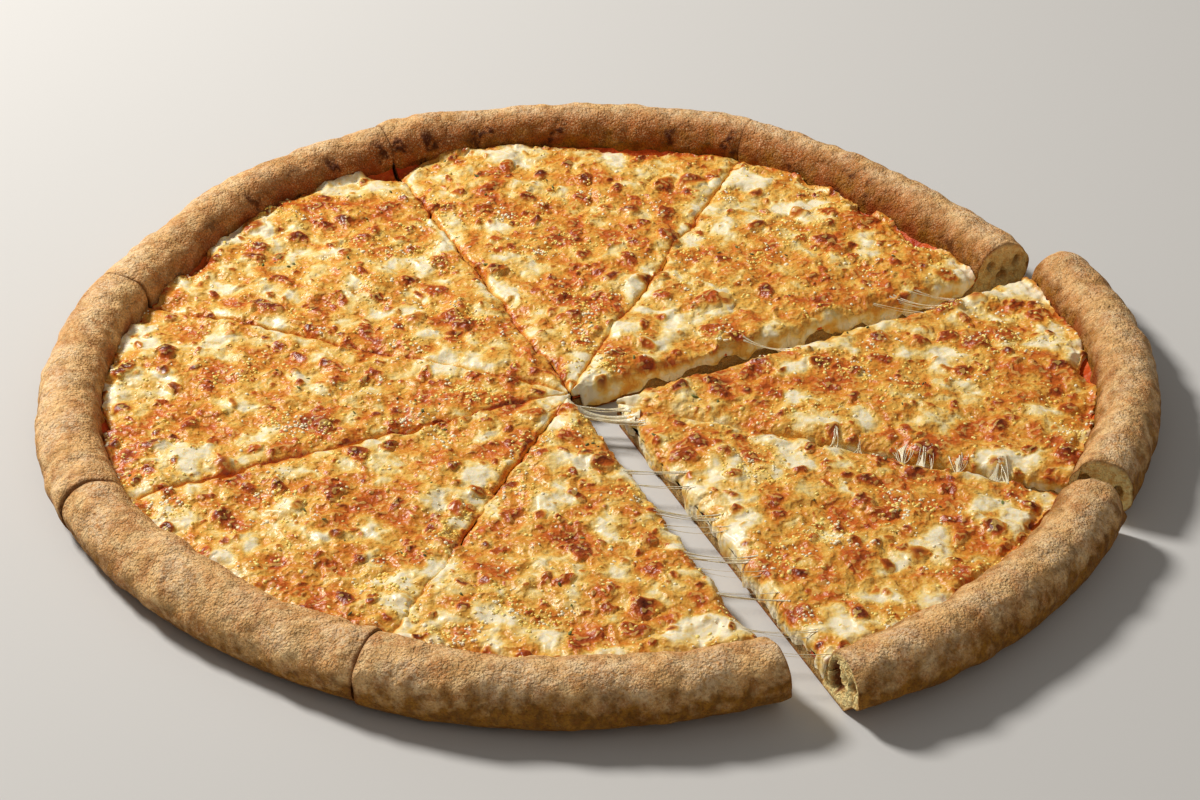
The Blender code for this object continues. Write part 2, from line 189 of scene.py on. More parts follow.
def reach_to_outline(piece, start, direction, shortfall):
    """How far from start, along each direction, the slice's outline less shortfall lies."""
    distance = np.full(len(direction), NOMINAL_RADIUS)
    for _ in range(4):
        place = start + direction * distance[:, None]
        angle = np.arctan2(place[:, 1], place[:, 0])
        short = shortfall(place) if callable(shortfall) else shortfall
        distance += slice_radius(piece, angle) - short - np.hypot(*place.T)
    return distance


def posed(piece, places):
    """Moves places from the uncut round to where the slice lies now."""
    turn = radians(piece.turn)
    turned = np.array(((cos(turn), -sin(turn)), (sin(turn), cos(turn))))
    moved = np.array(places, float)
    moved[:, :2] = (moved[:, :2] - CUT_CENTRE) @ turned.T + CUT_CENTRE + piece.slide
    return moved


def corners_of(mesh):
    """Where all the points of a bmesh are."""
    data = bpy.data.meshes.new("measured")
    mesh.to_mesh(data)
    places = np.empty(len(data.vertices) * 3, np.float32)
    data.vertices.foreach_get("co", places)
    bpy.data.meshes.remove(data)
    return places.reshape(-1, 3).astype(float)


def put(mesh, places):
    for vertex, place in zip(mesh.verts, places.tolist()):
        vertex.co = place


def packed_relief(places, size):
    """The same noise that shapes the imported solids."""
    return np.array([noise.noise(place) for place in (places / size).tolist()])


def swept_block():
    """A block of grid cells: x along the cut, y up the side face and z across, each 0 to 1. It is
    open over the base, whose flat top and underside are closed later with one face each."""
    mesh = bmesh.new()
    bmesh.ops.create_grid(mesh, x_segments=BASE_STEPS + RIM_STEPS, y_segments=LAYERS, size=0.5)
    bmesh.ops.translate(mesh, verts=mesh.verts, vec=(0.5, 0.5, 0.0))
    grown = bmesh.ops.extrude_face_region(mesh, geom=mesh.faces[:])
    far = [part for part in grown["geom"] if isinstance(part, bmesh.types.BMVert)]
    bmesh.ops.translate(mesh, verts=far, vec=(0.0, 0.0, 1.0))
    flats = []
    for face in mesh.faces:
        x, _, z = face.calc_center_median()
        if 0.0 < x < (BASE_STEPS - 2) / (BASE_STEPS + RIM_STEPS) and 0.0 < z < 1.0:
            flats.append(face)
    bmesh.ops.delete(mesh, geom=flats, context="FACES")
    across = [edge for edge in mesh.edges if abs(edge.verts[0].co.z - edge.verts[1].co.z) > 0.5]
    bmesh.ops.subdivide_edges(mesh, edges=across, cuts=COLUMNS - 1, use_grid_fill=True)
    return mesh


def mark(mesh, marks):
    """Gives every point its values for the material."""
    layers = {name: mesh.verts.layers.float.new(name) for name in marks}
    for name, layer in layers.items():
        for vertex, value in zip(mesh.verts, marks[name].tolist()):
            vertex[layer] = value
    return layers


def pore_depth(piece, side, along, height, rim_middle):
    """How deep the holes of the crumb go at points of a cut face."""
    depth = np.zeros(len(along))
    draw = Random(PORE_SEED + piece.number)
    for end in ("first", "last"):
        if (piece.number, end) not in BARE_RIM_ENDS:
            continue
        for index in range(PORES_PER_END):
            across = PORE_SPACING * (index - 1) + draw.uniform(-PORE_SCATTER, PORE_SCATTER)
            up = draw.uniform(*PORE_HEIGHTS)
            radius = draw.uniform(*PORE_RADII)
            if end != side:
                continue
            beside = (along - rim_middle - across) / (radius * PORE_SHAPE[0])
            above = (height - up) / (radius * PORE_SHAPE[2])
            inside = np.sqrt(np.clip(1.0 - beside**2 - above**2, 0.0, 1.0))
            depth = np.maximum(depth, inside * radius * PORE_SHAPE[1])
    return depth


def cavity_depth(piece, side, along, height, rim_middle):
    """The large bubble that the cut opened on the cheese side of one rim end."""
    if (piece.number, side) != CAVITY_END:
        return np.zeros(len(along))
    beside = (along - rim_middle + CAVITY_INWARD) / CAVITY_RADII[0]
    above = (height - CAVITY_HEIGHT) / CAVITY_RADII[1]
    ragged = 0.25 * cloud(np.column_stack([along, height]), 0.0022, 45.0)
    return CAVITY_DEPTH * np.sqrt(np.clip(1.0 - beside**2 - above**2 + ragged, 0.0, 1.0))


def dough_slice(piece):
    """The slice's dough, with point values for its material."""
    mesh = swept_block()
    grid = corners_of(mesh)
    step = np.rint(grid[:, 0] * (BASE_STEPS + RIM_STEPS))
    tip = slice_tip(piece, KNIFE_GAP / 2.0)
    degrees = piece.first_cut + grid[:, 2] * (piece.last_cut - piece.first_cut)
    direction = aim(degrees)
    reach = reach_to_outline(piece, tip, direction, 0.0)

    on_rim = np.clip((step - BASE_STEPS) / RIM_STEPS, 0.0, 1.0)
    across = -np.cos(pi * on_rim)
    distance = np.where(step < BASE_STEPS, (reach - RIM_WIDTH) * step / BASE_STEPS,
                        reach - RIM_WIDTH / 2.0 * (1.0 - across))
    top = np.where(step < BASE_STEPS, BASE_HEIGHT,
                   RIM_WIDEST_HEIGHT + (RIM_HEIGHT - RIM_WIDEST_HEIGHT) * np.sin(pi * on_rim))
    turned_under = np.clip(across, 0.0, 1.0) ** (1.0 / UNDERSIDE_SQUARENESS)
    bottom = RIM_WIDEST_HEIGHT * (1.0 - np.sqrt(1.0 - turned_under**2) ** UNDERSIDE_SQUARENESS)
    bottom = np.where(on_rim > 0.0, bottom, 0.0)
    height = bottom + (top - bottom) * grid[:, 1]

    from_gap = np.abs((np.radians(degrees - CURL_AT) + pi) % (2.0 * pi) - pi)
    near_gap = eased(1.0 - from_gap / radians(CURL_SPREAD))
    outside = eased(across / CURL_REACH)
    height += np.maximum(0.0, RIM_WIDEST_HEIGHT - height) * CURL_SHARE * near_gap * outside

    flat = tip + direction * distance[:, None]
    place = np.column_stack([flat, height])
    rim = (on_rim > 0.0) | (step == BASE_STEPS)
    outward = direction * (RIM_WIDTH / 2.0 * across)[:, None]
    ring = np.column_stack([outward, height - RIM_WIDEST_HEIGHT])
    from_middle = np.linalg.norm(ring, axis=1)
    ring /= np.maximum(from_middle, 1e-6)[:, None]
    risen = np.clip((height - BASE_HEIGHT) / (RIM_HEIGHT - BASE_HEIGHT), 0.0, 1.0)
    swell = np.zeros(len(place))
    swell[rim] = (SWELL_DEPTH * packed_relief(place[rim], SWELL_SIZE)
                  + LUMP_DEPTH * packed_relief(place[rim], LUMP_SIZE))
    swell *= np.minimum(1.0, 2.0 * risen)
    over = np.where(grid[:, 1] > 0.5, on_rim, 2.0 - on_rim) * pi * SECTION_RADIUS
    unrolled = np.column_stack([np.radians(degrees) * RIM_LINE_RADIUS, over * BULGE_STRETCH])
    skin = (BULGE_DEPTH * cloud(unrolled, BULGE_SIZE, 3.0)
            + DIMPLE_DEPTH * cloud(place, DIMPLE_SIZE, 2.0)
            - PIT_DEPTH * between(0.42, 0.85, cloud(place, PIT_SIZE, 4.0)))
    swell += skin * rim * between(0.0, 0.3, risen + 0.15)

    inward = cut_inward(piece)
    to_cuts = [(flat - CUT_CENTRE) @ inward[side] - KNIFE_GAP / 2.0 for side in (0, 1)]
    for side, name in enumerate(("first", "last")):
        rounding = END_ROUNDING.get((piece.number, name), USUAL_ROUNDING)
        reach_in = ROUNDING_REACH * max(1.0, rounding / LONG_ROUNDING)
        near = np.clip(1.0 - to_cuts[side] / reach_in, 0.0, 1.0)
        swell -= rounding * (1.0 - np.sqrt(1.0 - near**2)) * rim * between(0.1, 0.9, risen * 3.0)
    spread = np.clip(from_middle / (RIM_WIDTH * 0.4), 0.0, 1.0)
    place += ring * (swell * spread)[:, None]
    for side, name in enumerate(("first", "last")):
        if (piece.number, name) not in BARE_RIM_ENDS:
            lean = END_LEAN.get((piece.number, name), USUAL_LEAN)
            lean = lean * between(LEAN_REACH, 0.0, to_cuts[side]) * rim * between(0.2, 0.6, risen)
            place[:, :2] -= inward[side] * lean[:, None]

    on_side = (grid[:, 1] > 0.0) & (grid[:, 1] < 1.0) & (grid[:, 0] > 0.0)
    crumb, hole_shade, seam_shade = (np.zeros(len(place)) for _ in range(3))
    from_skin = np.minimum(grid[:, 1], 1.0 - grid[:, 1]) / SKIN_ACROSS
    within = eased(np.minimum(from_skin, (1.0 - np.maximum(across, 0.0)) / SKIN_OUTWARD))
    over_skin = np.clip(grid[:, 1] / SKIN_UNDER_BASE, 0.0, 1.0)
    within = np.where(step < BASE_STEPS, over_skin, within)
    for side, name in enumerate(("first", "last")):
        closed = (piece.number, name) not in BARE_RIM_ENDS
        # Painted shade: a dark line on the rim's skin along each cut, where the crack between
        # slices lies; half as strong at bare ends.
        frayed = to_cuts[side] + SEAM_FRAY_DEPTH * cloud(place, SEAM_FRAY_SIZE, 17.0)
        seam_shade = np.maximum(seam_shade, between(SEAM_WIDTH, 0.0, frayed) * (1.0 if closed else 0.5))
        face = on_side & (grid[:, 2] == side)
        if not closed:
            crumb[face] = within[face]
        cut_aim = aim(piece.first_cut if side == 0 else piece.last_cut)
        along = (place[face, :2] - CUT_CENTRE) @ cut_aim
        start = np.array([CUT_CENTRE])
        rim_middle = reach_to_outline(piece, start, cut_aim[None], RIM_WIDTH / 2.0)[0]
        depth = pore_depth(piece, name, along, place[face, 2], rim_middle)
        cavity = cavity_depth(piece, name, along, place[face, 2], rim_middle)
        depth = np.maximum(depth, cavity)
        cut_face = place[face]
        bubbles = between(0.15, 0.6, cloud(cut_face, BUBBLE_SIZE, 6.0 + side)) * BUBBLE_DEPTH
        fine = between(0.2, 0.7, cloud(cut_face, FINE_BUBBLE_SIZE, 8.0 + side))
        bubbles += fine * FINE_BUBBLE_DEPTH
        # Painted shade: the crumb's holes and the cavity are coloured darker brown the deeper they
        # go.
        hole_shade[face] = 0.6 * np.clip(depth / SHADED_HOLE_DEPTH, 0.0, 1.0)
        hole_shade[face] += 0.35 * np.clip(cavity / SHADED_HOLE_DEPTH, 0.0, 1.0)
        pressed = depth + bubbles * np.clip(1.0 - depth * BUBBLE_FADE, 0.0, 1.0)
        place[face, :2] += inward[side] * pressed[:, None]
    place[:, 2] = np.maximum(place[:, 2], 0.0)
    put(mesh, posed(piece, place))

    inner_side = np.where(step < BASE_STEPS, 1.0, 0.5 - across / 2.0)
    scorched = between(0.16, 0.38, cloud(place, SCORCH_SIZE, 14.0))
    scorched *= between(0.66, 0.86, inner_side)
    scorched *= between(-0.35, 0.25, cloud(place, SCORCH_DRIFT, 42.0))
    facing_back = 0.25 + 0.75 * between(0.2, 0.95, direction[:, 1])
    # Painted light on the lamp's side: it raises the risen mark, so the darker lower brown starts
    # lower, and it weakens the inner brown.
    painted_light = PAINTED_LIGHT_LIFT * between(0.0, 0.7, -direction[:, 0])
    stained = between(-0.1, 0.5, cloud(place, STAIN_SIZE, 15.0))
    stained *= between(0.0175, 0.0115, place[:, 2])
    dusted = between(-0.35, 0.35, cloud(place, FLOUR_DRIFT, 16.0)) * between(0.40, 0.78, risen)
    # Painted shade: less crumb colour on the base's cut faces and on slice 1's.
    shaded_crumb_share = np.where(step < BASE_STEPS, SHADED_BASE_CRUMB, 1.0) * crumb
    marks = {
        "crumb": shaded_crumb_share * SHADED_CRUMB.get(piece.number, 1.0),
        "hole_shade": hole_shade,
        "seam_shade": seam_shade * (1.0 - crumb) * rim,
        # The inner brown is stronger towards the back, where the inner wall faces away from the
        # lamp: the oven's own brown, and partly painted shade.
        "inner": inner_side * (0.5 + 0.5 * facing_back) * (1.0 - 0.55 * painted_light),
        "risen": np.clip(place[:, 2] / RIM_HEIGHT + painted_light, 0.0, 1.0),
        "scorch": scorched * facing_back * (1.0 - crumb),
        "stain": stained * between(0.55, 0.9, inner_side) * (1.0 - crumb),
        "dusted": dusted * between(0.80, 0.50, inner_side) * (1.0 - crumb),
    }
    mark(mesh, marks)
    bmesh.ops.remove_doubles(mesh, verts=mesh.verts, dist=MERGE_DISTANCE)
    open_edges = [edge for edge in mesh.edges if edge.is_boundary]
    bmesh.ops.holes_fill(mesh, edges=open_edges, sides=0)
    bmesh.ops.recalc_face_normals(mesh, faces=mesh.faces)
    return mesh


def finished(name, mesh, node, material):
    """Makes the piece of a bmesh, smooth, riding on the part and standing for its CAD node."""
    data = bpy.data.meshes.new(name)
    mesh.to_mesh(data)
    mesh.free()
    data.shade_smooth()
    data.set_sharp_from_angle(angle=SHARP_ANGLE)
    made = bpy.data.objects.new(name, data)
    bpy.context.scene.collection.objects.link(made)
    data.materials.append(material)
    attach(made, "root")
    if node:
        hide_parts(node)


def paint(red, green, blue):
    """A colour given as it shows on a screen, 0 to 255, as the shader wants it."""
    shown = np.array((red, green, blue)) / 255.0
    linear = np.where(shown <= 0.04045, shown / 12.92, ((shown + 0.055) / 1.055) ** 2.4)
    return (*linear.tolist(), 1.0)


def node(tree, kind, sockets=(), **settings):
    """Adds a shader node, sets it up, and gives its sockets values or links."""
    made = tree.nodes.new(kind)
    for name, value in settings.items():
        setattr(made, name, value)
    for name, value in dict(sockets).items():
        if isinstance(value, bpy.types.NodeSocket):
            tree.links.new(value, made.inputs[name])
        else:
            made.inputs[name].default_value = value
    return made


def mixed(tree, share, under, over):
    """The colour over laid on the colour under, by share; either may be given as for paint."""
    under, over = (paint(*tint) if isinstance(tint, tuple) else tint for tint in (under, over))
    made = node(tree, "ShaderNodeMix", {0: share, 6: under, 7: over}, data_type="RGBA")
    return made.outputs[2]


def marked(tree, name):
    return node(tree, "ShaderNodeAttribute", attribute_name=name).outputs["Fac"]


def times(tree, a, b):
    return node(tree, "ShaderNodeMath", {0: a, 1: b}, operation="MULTIPLY").outputs[0]


def plus(tree, a, b):
    return node(tree, "ShaderNodeMath", {0: a, 1: b}, operation="ADD").outputs[0]


SOAK_COLOURS, SOAK_DEPTH = (1.0, 0.6, 0.35), 0.0012
COAT_ROUGHNESS = 0.16


def new_material(name, roughness, subsurface=0.0, coat=0.0):
    """A material, its tree and its shader; light soaks into it, by subsurface, as into bread."""
    made = bpy.data.materials.new(name)
    made.use_nodes = True
    shader = made.node_tree.nodes["Principled BSDF"]
    shader.inputs["Roughness"].default_value = roughness
    shader.inputs["Subsurface Weight"].default_value = subsurface
    shader.inputs["Subsurface Radius"].default_value = SOAK_COLOURS
    shader.inputs["Subsurface Scale"].default_value = SOAK_DEPTH
    shader.inputs["Coat Weight"].default_value = coat
    shader.inputs["Coat Roughness"].default_value = COAT_ROUGHNESS
    return made, made.node_tree, shader


def mottle_group():
    """Noise in the piece's own place, cut to a mask: it fades in from one level to the other."""
    tree = bpy.data.node_groups.new("mottle", "ShaderNodeTree")
    for name in ("Lumps per Metre", "Detail", "From", "To"):
        tree.interface.new_socket(name, in_out="INPUT", socket_type="NodeSocketFloat")
    tree.interface.new_socket("Mask", in_out="OUTPUT", socket_type="NodeSocketFloat")
    ins = tree.nodes.new("NodeGroupInput").outputs
    outs = tree.nodes.new("NodeGroupOutput").inputs
    where = node(tree, "ShaderNodeTexCoord").outputs["Object"]
    lumps = node(tree, "ShaderNodeTexNoise", {
        "Vector": where, "Scale": ins["Lumps per Metre"], "Detail": ins["Detail"],
        "Roughness": 0.55,
    })
    levels = {"Value": lumps.outputs["Fac"], "From Min": ins["From"], "From Max": ins["To"]}
    mask = node(tree, "ShaderNodeMapRange", levels, interpolation_type="SMOOTHSTEP")
    tree.links.new(mask.outputs[0], outs["Mask"])
    return tree


MOTTLE = mottle_group()


def mottle(tree, lumps, low, high, detail=2.0):
    values = {"Lumps per Metre": lumps, "Detail": detail, "From": low, "To": high}
    return node(tree, "ShaderNodeGroup", values, node_tree=MOTTLE).outputs["Mask"]


def faded(tree, value, low, high):
    """0 where the value is at low, 1 where it is at high, and even in between."""
    levels = {"Value": value, "From Min": low, "From Max": high}
    return node(tree, "ShaderNodeMapRange", levels).outputs[0]


def overlaid(tree, colour, layers):
    """Lays colours over a colour, one after the other: each layer is a mask, a share, a colour."""
    for mask, share, tint in layers:
        colour = mixed(tree, times(tree, mask, share), colour, tint)
    return colour


def bumped(tree, shader, layers):
    """Fine relief: each layer is a height from 0 to 1 and its depth in metres."""
    normal = None
    for height, depth in layers:
        bump = node(tree, "ShaderNodeBump", {"Height": height, "Distance": depth, "Strength": 1.0})
        if normal:
            tree.links.new(normal, bump.inputs["Normal"])
        normal = bump.outputs[0]
    tree.links.new(normal, shader.inputs["Normal"])


TAN, DEEP_TAN, BROWNER_TAN, PALER_TAN = (
    (242, 192, 126), (222, 164, 100), (188, 118, 62), (248, 210, 150))
OVEN_BROWN, STAIN, SCORCH = (168, 88, 26), (150, 66, 22), (78, 34, 14)
FLOUR, FLOUR_SPECK, DARK_SPECK = (246, 216, 174), (252, 224, 174), (146, 84, 34)
# The golden browns low on the rim are the crust's own brown, made darker as painted shade under the
# rim.
SHADED_GOLD_BROWN, PALER_SHADED_GOLD_BROWN, LOW_SPECK = (118, 74, 8), (162, 108, 24), (84, 50, 6)
SEAM_SHADE_BROWN, HOLE_SHADE_BROWN = (128, 76, 32), (120, 62, 24)
CRUMB, DEEP_CRUMB = (255, 232, 164), (234, 188, 112)
SKIN_GRAIN, SKIN_GRAIN_DEPTH = 420.0, 0.0005
FINE_GRAIN, FINE_GRAIN_DEPTH = 1300.0, 0.00036


def crust_material():
    """Baked skin: tan, speckled, floury on top; golden brown low down, made darker there as painted
    shade; pale open crumb inside.
    """
    made, tree, shader = new_material("baked_crust", 0.65, subsurface=0.05)
    shader.inputs["Specular IOR Level"].default_value = 0.12
    # Painted shade: low on the rim the skin is mixed towards the darker golden browns.
    low = faded(tree, marked(tree, "risen"), 0.96, 0.42)
    low = plus(tree, low, times(tree, plus(tree, mottle(tree, 210.0, 0.3, 0.7), -0.5), 0.6))
    shaded_gold = mixed(tree, mottle(tree, 260.0, 0.35, 0.65), SHADED_GOLD_BROWN, PALER_SHADED_GOLD_BROWN)
    shaded_gold = overlaid(tree, shaded_gold, ((mottle(tree, 900.0, 0.46, 0.66), 0.5, LOW_SPECK),))
    colour = mixed(tree, mottle(tree, 60.0, 0.35, 0.7), TAN, DEEP_TAN)
    colour = overlaid(tree, colour, (
        (mottle(tree, 170.0, 0.46, 0.62), 0.55, BROWNER_TAN),
        (mottle(tree, 230.0, 0.50, 0.66), 0.65, PALER_TAN),
        (faded(tree, marked(tree, "inner"), 0.45, 0.8), 0.9, OVEN_BROWN),
        (times(tree, marked(tree, "dusted"), mottle(tree, 800.0, 0.32, 0.62)), 0.7, FLOUR),
        (mottle(tree, 1900.0, 0.50, 0.66), 0.5, FLOUR_SPECK),
    ))
    colour = mixed(tree, times(tree, faded(tree, low, 0.0, 0.8), 0.94), colour, shaded_gold)
    colour = overlaid(tree, colour, (
        (mottle(tree, 1200.0, 0.50, 0.66), 0.42, DARK_SPECK),
        (marked(tree, "stain"), 0.75, STAIN),
        (times(tree, marked(tree, "scorch"), mottle(tree, 420.0, 0.3, 0.6)), 0.95, SCORCH),
        # The painted shade along the cuts.
        (marked(tree, "seam_shade"), 0.7, SEAM_SHADE_BROWN),
    ))
    crumb = mixed(tree, mottle(tree, 500.0, 0.4, 0.7), CRUMB, DEEP_CRUMB)
    # Painted shade in the holes.
    crumb = mixed(tree, marked(tree, "hole_shade"), crumb, HOLE_SHADE_BROWN)
    colour = mixed(tree, marked(tree, "crumb"), colour, crumb)
    tree.links.new(colour, shader.inputs["Base Color"])
    bumped(tree, shader, ((mottle(tree, SKIN_GRAIN, 0.2, 0.8), SKIN_GRAIN_DEPTH),
                          (mottle(tree, FINE_GRAIN, 0.2, 0.8), FINE_GRAIN_DEPTH)))
    return made


CRUST = crust_material()
for piece in SLICES:
    dough = dough_slice(piece)
    replaced = f"slice_{piece.number}_dough"
    finished(f"dough_{piece.number}", dough, replaced, CRUST)

# The tomato sauce: a thin red layer, spread by ladle almost to the rim. It shows in the cuts and
# in the bays along the rim where no cheese fell, where it has dried and darkened in the oven.
LAYER_GAP = 0.0003
LAYER_INSET = 0.0002
SAUCE_THICKNESS = 0.0010
SAUCE_RIM_GAP, SAUCE_CLIMB, SAUCE_CLIMB_REACH = -0.0004, 0.0026, 0.003
SAUCE_BOTTOM = BASE_HEIGHT + LAYER_GAP
SAUCE_ROWS = 110
SAUCE_RIPPLE, SAUCE_RIPPLE_SIZE, SAUCE_GRAIN_SIZE = 0.0005, 0.006, 0.0025
OUTLINE_SAMPLES = 700
TOMATO, DRIED_TOMATO, OILY_TOMATO = (214, 92, 24), (180, 56, 8), (226, 118, 52)


def layer_lattice(rows):
    """An open triangle of even rows; x and y run from 0 to 1, and add up to 1 along the rim."""
    mesh = bmesh.new()
    corners = ((0.0, 0.0, 0.0), (1.0, 0.0, 0.0), (0.0, 1.0, 0.0))
    mesh.faces.new([mesh.verts.new(corner) for corner in corners])
    bmesh.ops.subdivide_edges(mesh, edges=mesh.edges[:], cuts=rows - 1, use_grid_fill=True)
    source = mesh.verts.layers.int.new("source")
    for index, vertex in enumerate(mesh.verts):
        vertex[source] = index
    return mesh


def fanned(piece, grid, shortfall):
    """Where the lattice's points lie on the slice, and how far each is from cuts and outline."""
    tip = slice_tip(piece, KNIFE_GAP / 2.0 + LAYER_INSET)
    along = grid[:, 0] + grid[:, 1]
    share = np.where(along > 0.0, grid[:, 1] / np.maximum(along, 1e-9), 0.5)
    shares = np.linspace(0.0, 1.0, OUTLINE_SAMPLES)
    degrees = piece.first_cut + shares * (piece.last_cut - piece.first_cut)
    reach = np.interp(share, shares, reach_to_outline(piece, tip, aim(degrees), shortfall))
    direction = aim(piece.first_cut + share * (piece.last_cut - piece.first_cut))
    flat = tip + direction * (reach * along)[:, None]
    inward = cut_inward(piece)
    from_centre = flat - CUT_CENTRE
    to_cuts = [from_centre @ inward[side] - KNIFE_GAP / 2.0 - LAYER_INSET for side in (0, 1)]
    return flat, direction, share, to_cuts, reach * (1.0 - along)


def add_walls(mesh, rows):
    """Extrudes the open edge, rows times, and closes it; returns the new rows of points."""
    edges = [edge for edge in mesh.edges if edge.is_boundary]
    made = []
    for _ in range(rows):
        grown = bmesh.ops.extrude_edge_only(mesh, edges=edges)["geom"]
        made.append([part for part in grown if isinstance(part, bmesh.types.BMVert)])
        new_edges = [part for part in grown if isinstance(part, bmesh.types.BMEdge)]
        edges = [edge for edge in new_edges if edge.is_boundary]
    bmesh.ops.holes_fill(mesh, edges=edges, sides=0)
    return made


def sauce_slice(piece):
    mesh = layer_lattice(SAUCE_ROWS)
    flat, _, _, _, to_outline = fanned(piece, corners_of(mesh), RIM_WIDTH + SAUCE_RIM_GAP)
    climb = SAUCE_CLIMB * (1.0 - eased(to_outline / SAUCE_CLIMB_REACH))
    ripple = cloud(flat, SAUCE_RIPPLE_SIZE, 11.0) + 0.5 * cloud(flat, SAUCE_GRAIN_SIZE, 12.0)
    ripple = np.maximum(SAUCE_RIPPLE * ripple, -SAUCE_RIPPLE)
    top = SAUCE_BOTTOM + SAUCE_THICKNESS + climb + ripple
    put(mesh, posed(piece, np.column_stack([flat, top])))
    source = mesh.verts.layers.int["source"]
    for vertex in add_walls(mesh, 1)[0]:
        vertex.co.z = SAUCE_BOTTOM
    bmesh.ops.recalc_face_normals(mesh, faces=mesh.faces)
    mesh.verts.layers.int.remove(source)
    return mesh


def sauce_material():
    """Cooked tomato: orange-red, lighter where its oil has run, darker where it has dried."""
    made, tree, shader = new_material("cooked_sauce", 0.4)
    shader.inputs["Specular IOR Level"].default_value = 0.15
    dried = mottle(tree, 130.0, 0.35, 0.65)
    colour = mixed(tree, dried, TOMATO, DRIED_TOMATO)
    colour = overlaid(tree, colour, ((mottle(tree, 420.0, 0.5, 0.75), 0.6, OILY_TOMATO),))
    tree.links.new(colour, shader.inputs["Base Color"])
    bumped(tree, shader, ((mottle(tree, 600.0, 0.25, 0.75), 0.0003),))
    return made


SAUCE = sauce_material()
for piece in SLICES:
    sauce = sauce_slice(piece)
    replaced = f"slice_{piece.number}_sauce"
    finished(f"sauce_{piece.number}", sauce, replaced, SAUCE)

# The cheese: shreds that melted into one layer and browned. Smooth cream pools lie among a golden
# film, and the film has risen into red-brown blisters. Its edges wander beside the knife's cuts,
# close up again where it was still soft, and hang over the sides of the slices that were drawn.
CHEESE_THICKNESS = 0.0040
CHEESE_BOTTOM = SAUCE_BOTTOM + SAUCE_THICKNESS + LAYER_GAP
CHEESE_RIM_GAP = 0.0017
CHEESE_CREEP, CHEESE_CLIMB, CHEESE_CLIMB_REACH = 0.0020, 0.0012, 0.0035
CHEESE_REACH = RIM_WIDTH + CHEESE_RIM_GAP - CHEESE_CREEP
CHEESE_FRAY, FRAY_SIZE, FINE_FRAY_SIZE = 0.0013, 0.0060, 0.0022
CHEESE_RAGGED, RAGGED_SIZE = 0.0085, 0.021
CHEESE_EDGE_SHARE, CHEESE_OUTER_SHARE, CHEESE_EDGE_WIDTH = 0.62, 0.4, 0.0046
EDGE_SAG_SIZE = 0.015
MELT_SIZE, MELT_DEPTH = 0.024, 0.0018
BLISTER_SIZE, BLISTER_DEPTH = 0.010, 0.0020
CHEESE_ROWS, WALL_ROWS = 310, 5
SPOT_DRAWS = np.random.default_rng(8).random((256, 256, 5))

# The browning. Bends, lumps and gravel are (depth, size, seed), patches are (share, size, seed),
# and spots are (spacing, chance, smallest and largest radius, seed).
BENDS = ((0.0024, 0.0085, 21.0), (0.0009, 0.0030, 23.0))
USUAL_BROWNING = 0.560
BROWN_PATCHES = ((0.34, 0.0175, 25.0), (0.33, 0.0078, 26.0), (0.14, 0.0036, 27.0))
BLISTER_SPOTS = (0.0112, 0.66, (0.0020, 0.0048), 1)
SMALL_SPOTS = (0.0056, 0.34, (0.0008, 0.0019), 2)
BLISTER_RISE, SMALL_RISE, POOL_RISE = 0.32, 0.42, 0.0003
LUMPS = ((0.0009, 0.0068, 30.0), (0.0005, 0.0038, 31.0))
GRAVEL = ((0.00030, 0.0026, 28.0), (0.00012, 0.0013, 29.0))

# The edges at the cuts, which are numbered from the first cut of slice 1.
OPEN_CUTS = (0, 6, 7)
MELTED_SHUT, USUALLY_SHUT, SHUT_HEIGHT = {5: 0.0012}, 0.00055, 0.55
WANDERS = ((0.0014, 0.012, 31.0), (0.0007, 0.0040, 32.0))
WANDER_REACH, WANDER_STARTS = 0.005, 0.012
LIP_WIDTH, LIP_DROP, THINNEST = 0.0011, 0.0006, 0.0005
DRAPE_LEAST, DRAPE_MORE, DRAPE_SIZE = 0.0016, 0.0038, 0.0085
WALL_LUMP_DEPTH, WALL_LUMP_SIZE, WALL_BULGE = 0.0005, 0.0028, 0.0005
FOOT_INSET = 0.0014


def spots(flat, spacing, chance, radii, seed):
    """Round spots scattered over the cheese. For every point: how far inside a spot it is (0 at
    the edge, 1 in the middle), that spot's radius, and a number of the spot's own."""
    cell = np.floor(flat / spacing).astype(int)
    inside, size, own = (np.zeros(len(flat)) for _ in range(3))
    for step in np.ndindex(3, 3):
        at = cell + np.array(step) - 1
        draw = SPOT_DRAWS[(at[:, 0] + 37 * seed) & 255, (at[:, 1] + 71 * seed) & 255]
        centre = (at + 0.1 + 0.8 * draw[:, :2]) * spacing
        radius = radii[0] + (radii[1] - radii[0]) * draw[:, 2] ** 2
        away = np.hypot(*(flat - centre).T) / radius
        here = np.where(draw[:, 3] < chance, 1.0 - away, 0.0)
        nearer = here > inside
        inside = np.where(nearer, here, inside)
        size = np.where(nearer, radius, size)
        own = np.where(nearer, draw[:, 4], own)
    return inside, size, own


def relief_of(points, layers):
    """The sum of clouds, each given by its depth, size and seed."""
    return sum(depth * cloud(points, size, seed) for depth, size, seed in layers)


def cheese_shortfall(place):
    """The cheese bakes on to the rim, and here and there it leaves a bay of bare sauce."""
    level = np.column_stack([place, np.zeros(len(place))])
    bay = np.maximum(0.0, packed_relief(level, RAGGED_SIZE))
    fray = cloud(level, FRAY_SIZE, 19.0) + 0.5 * cloud(level, FINE_FRAY_SIZE, 20.0)
    return CHEESE_REACH + CHEESE_RAGGED * bay + CHEESE_FRAY * fray


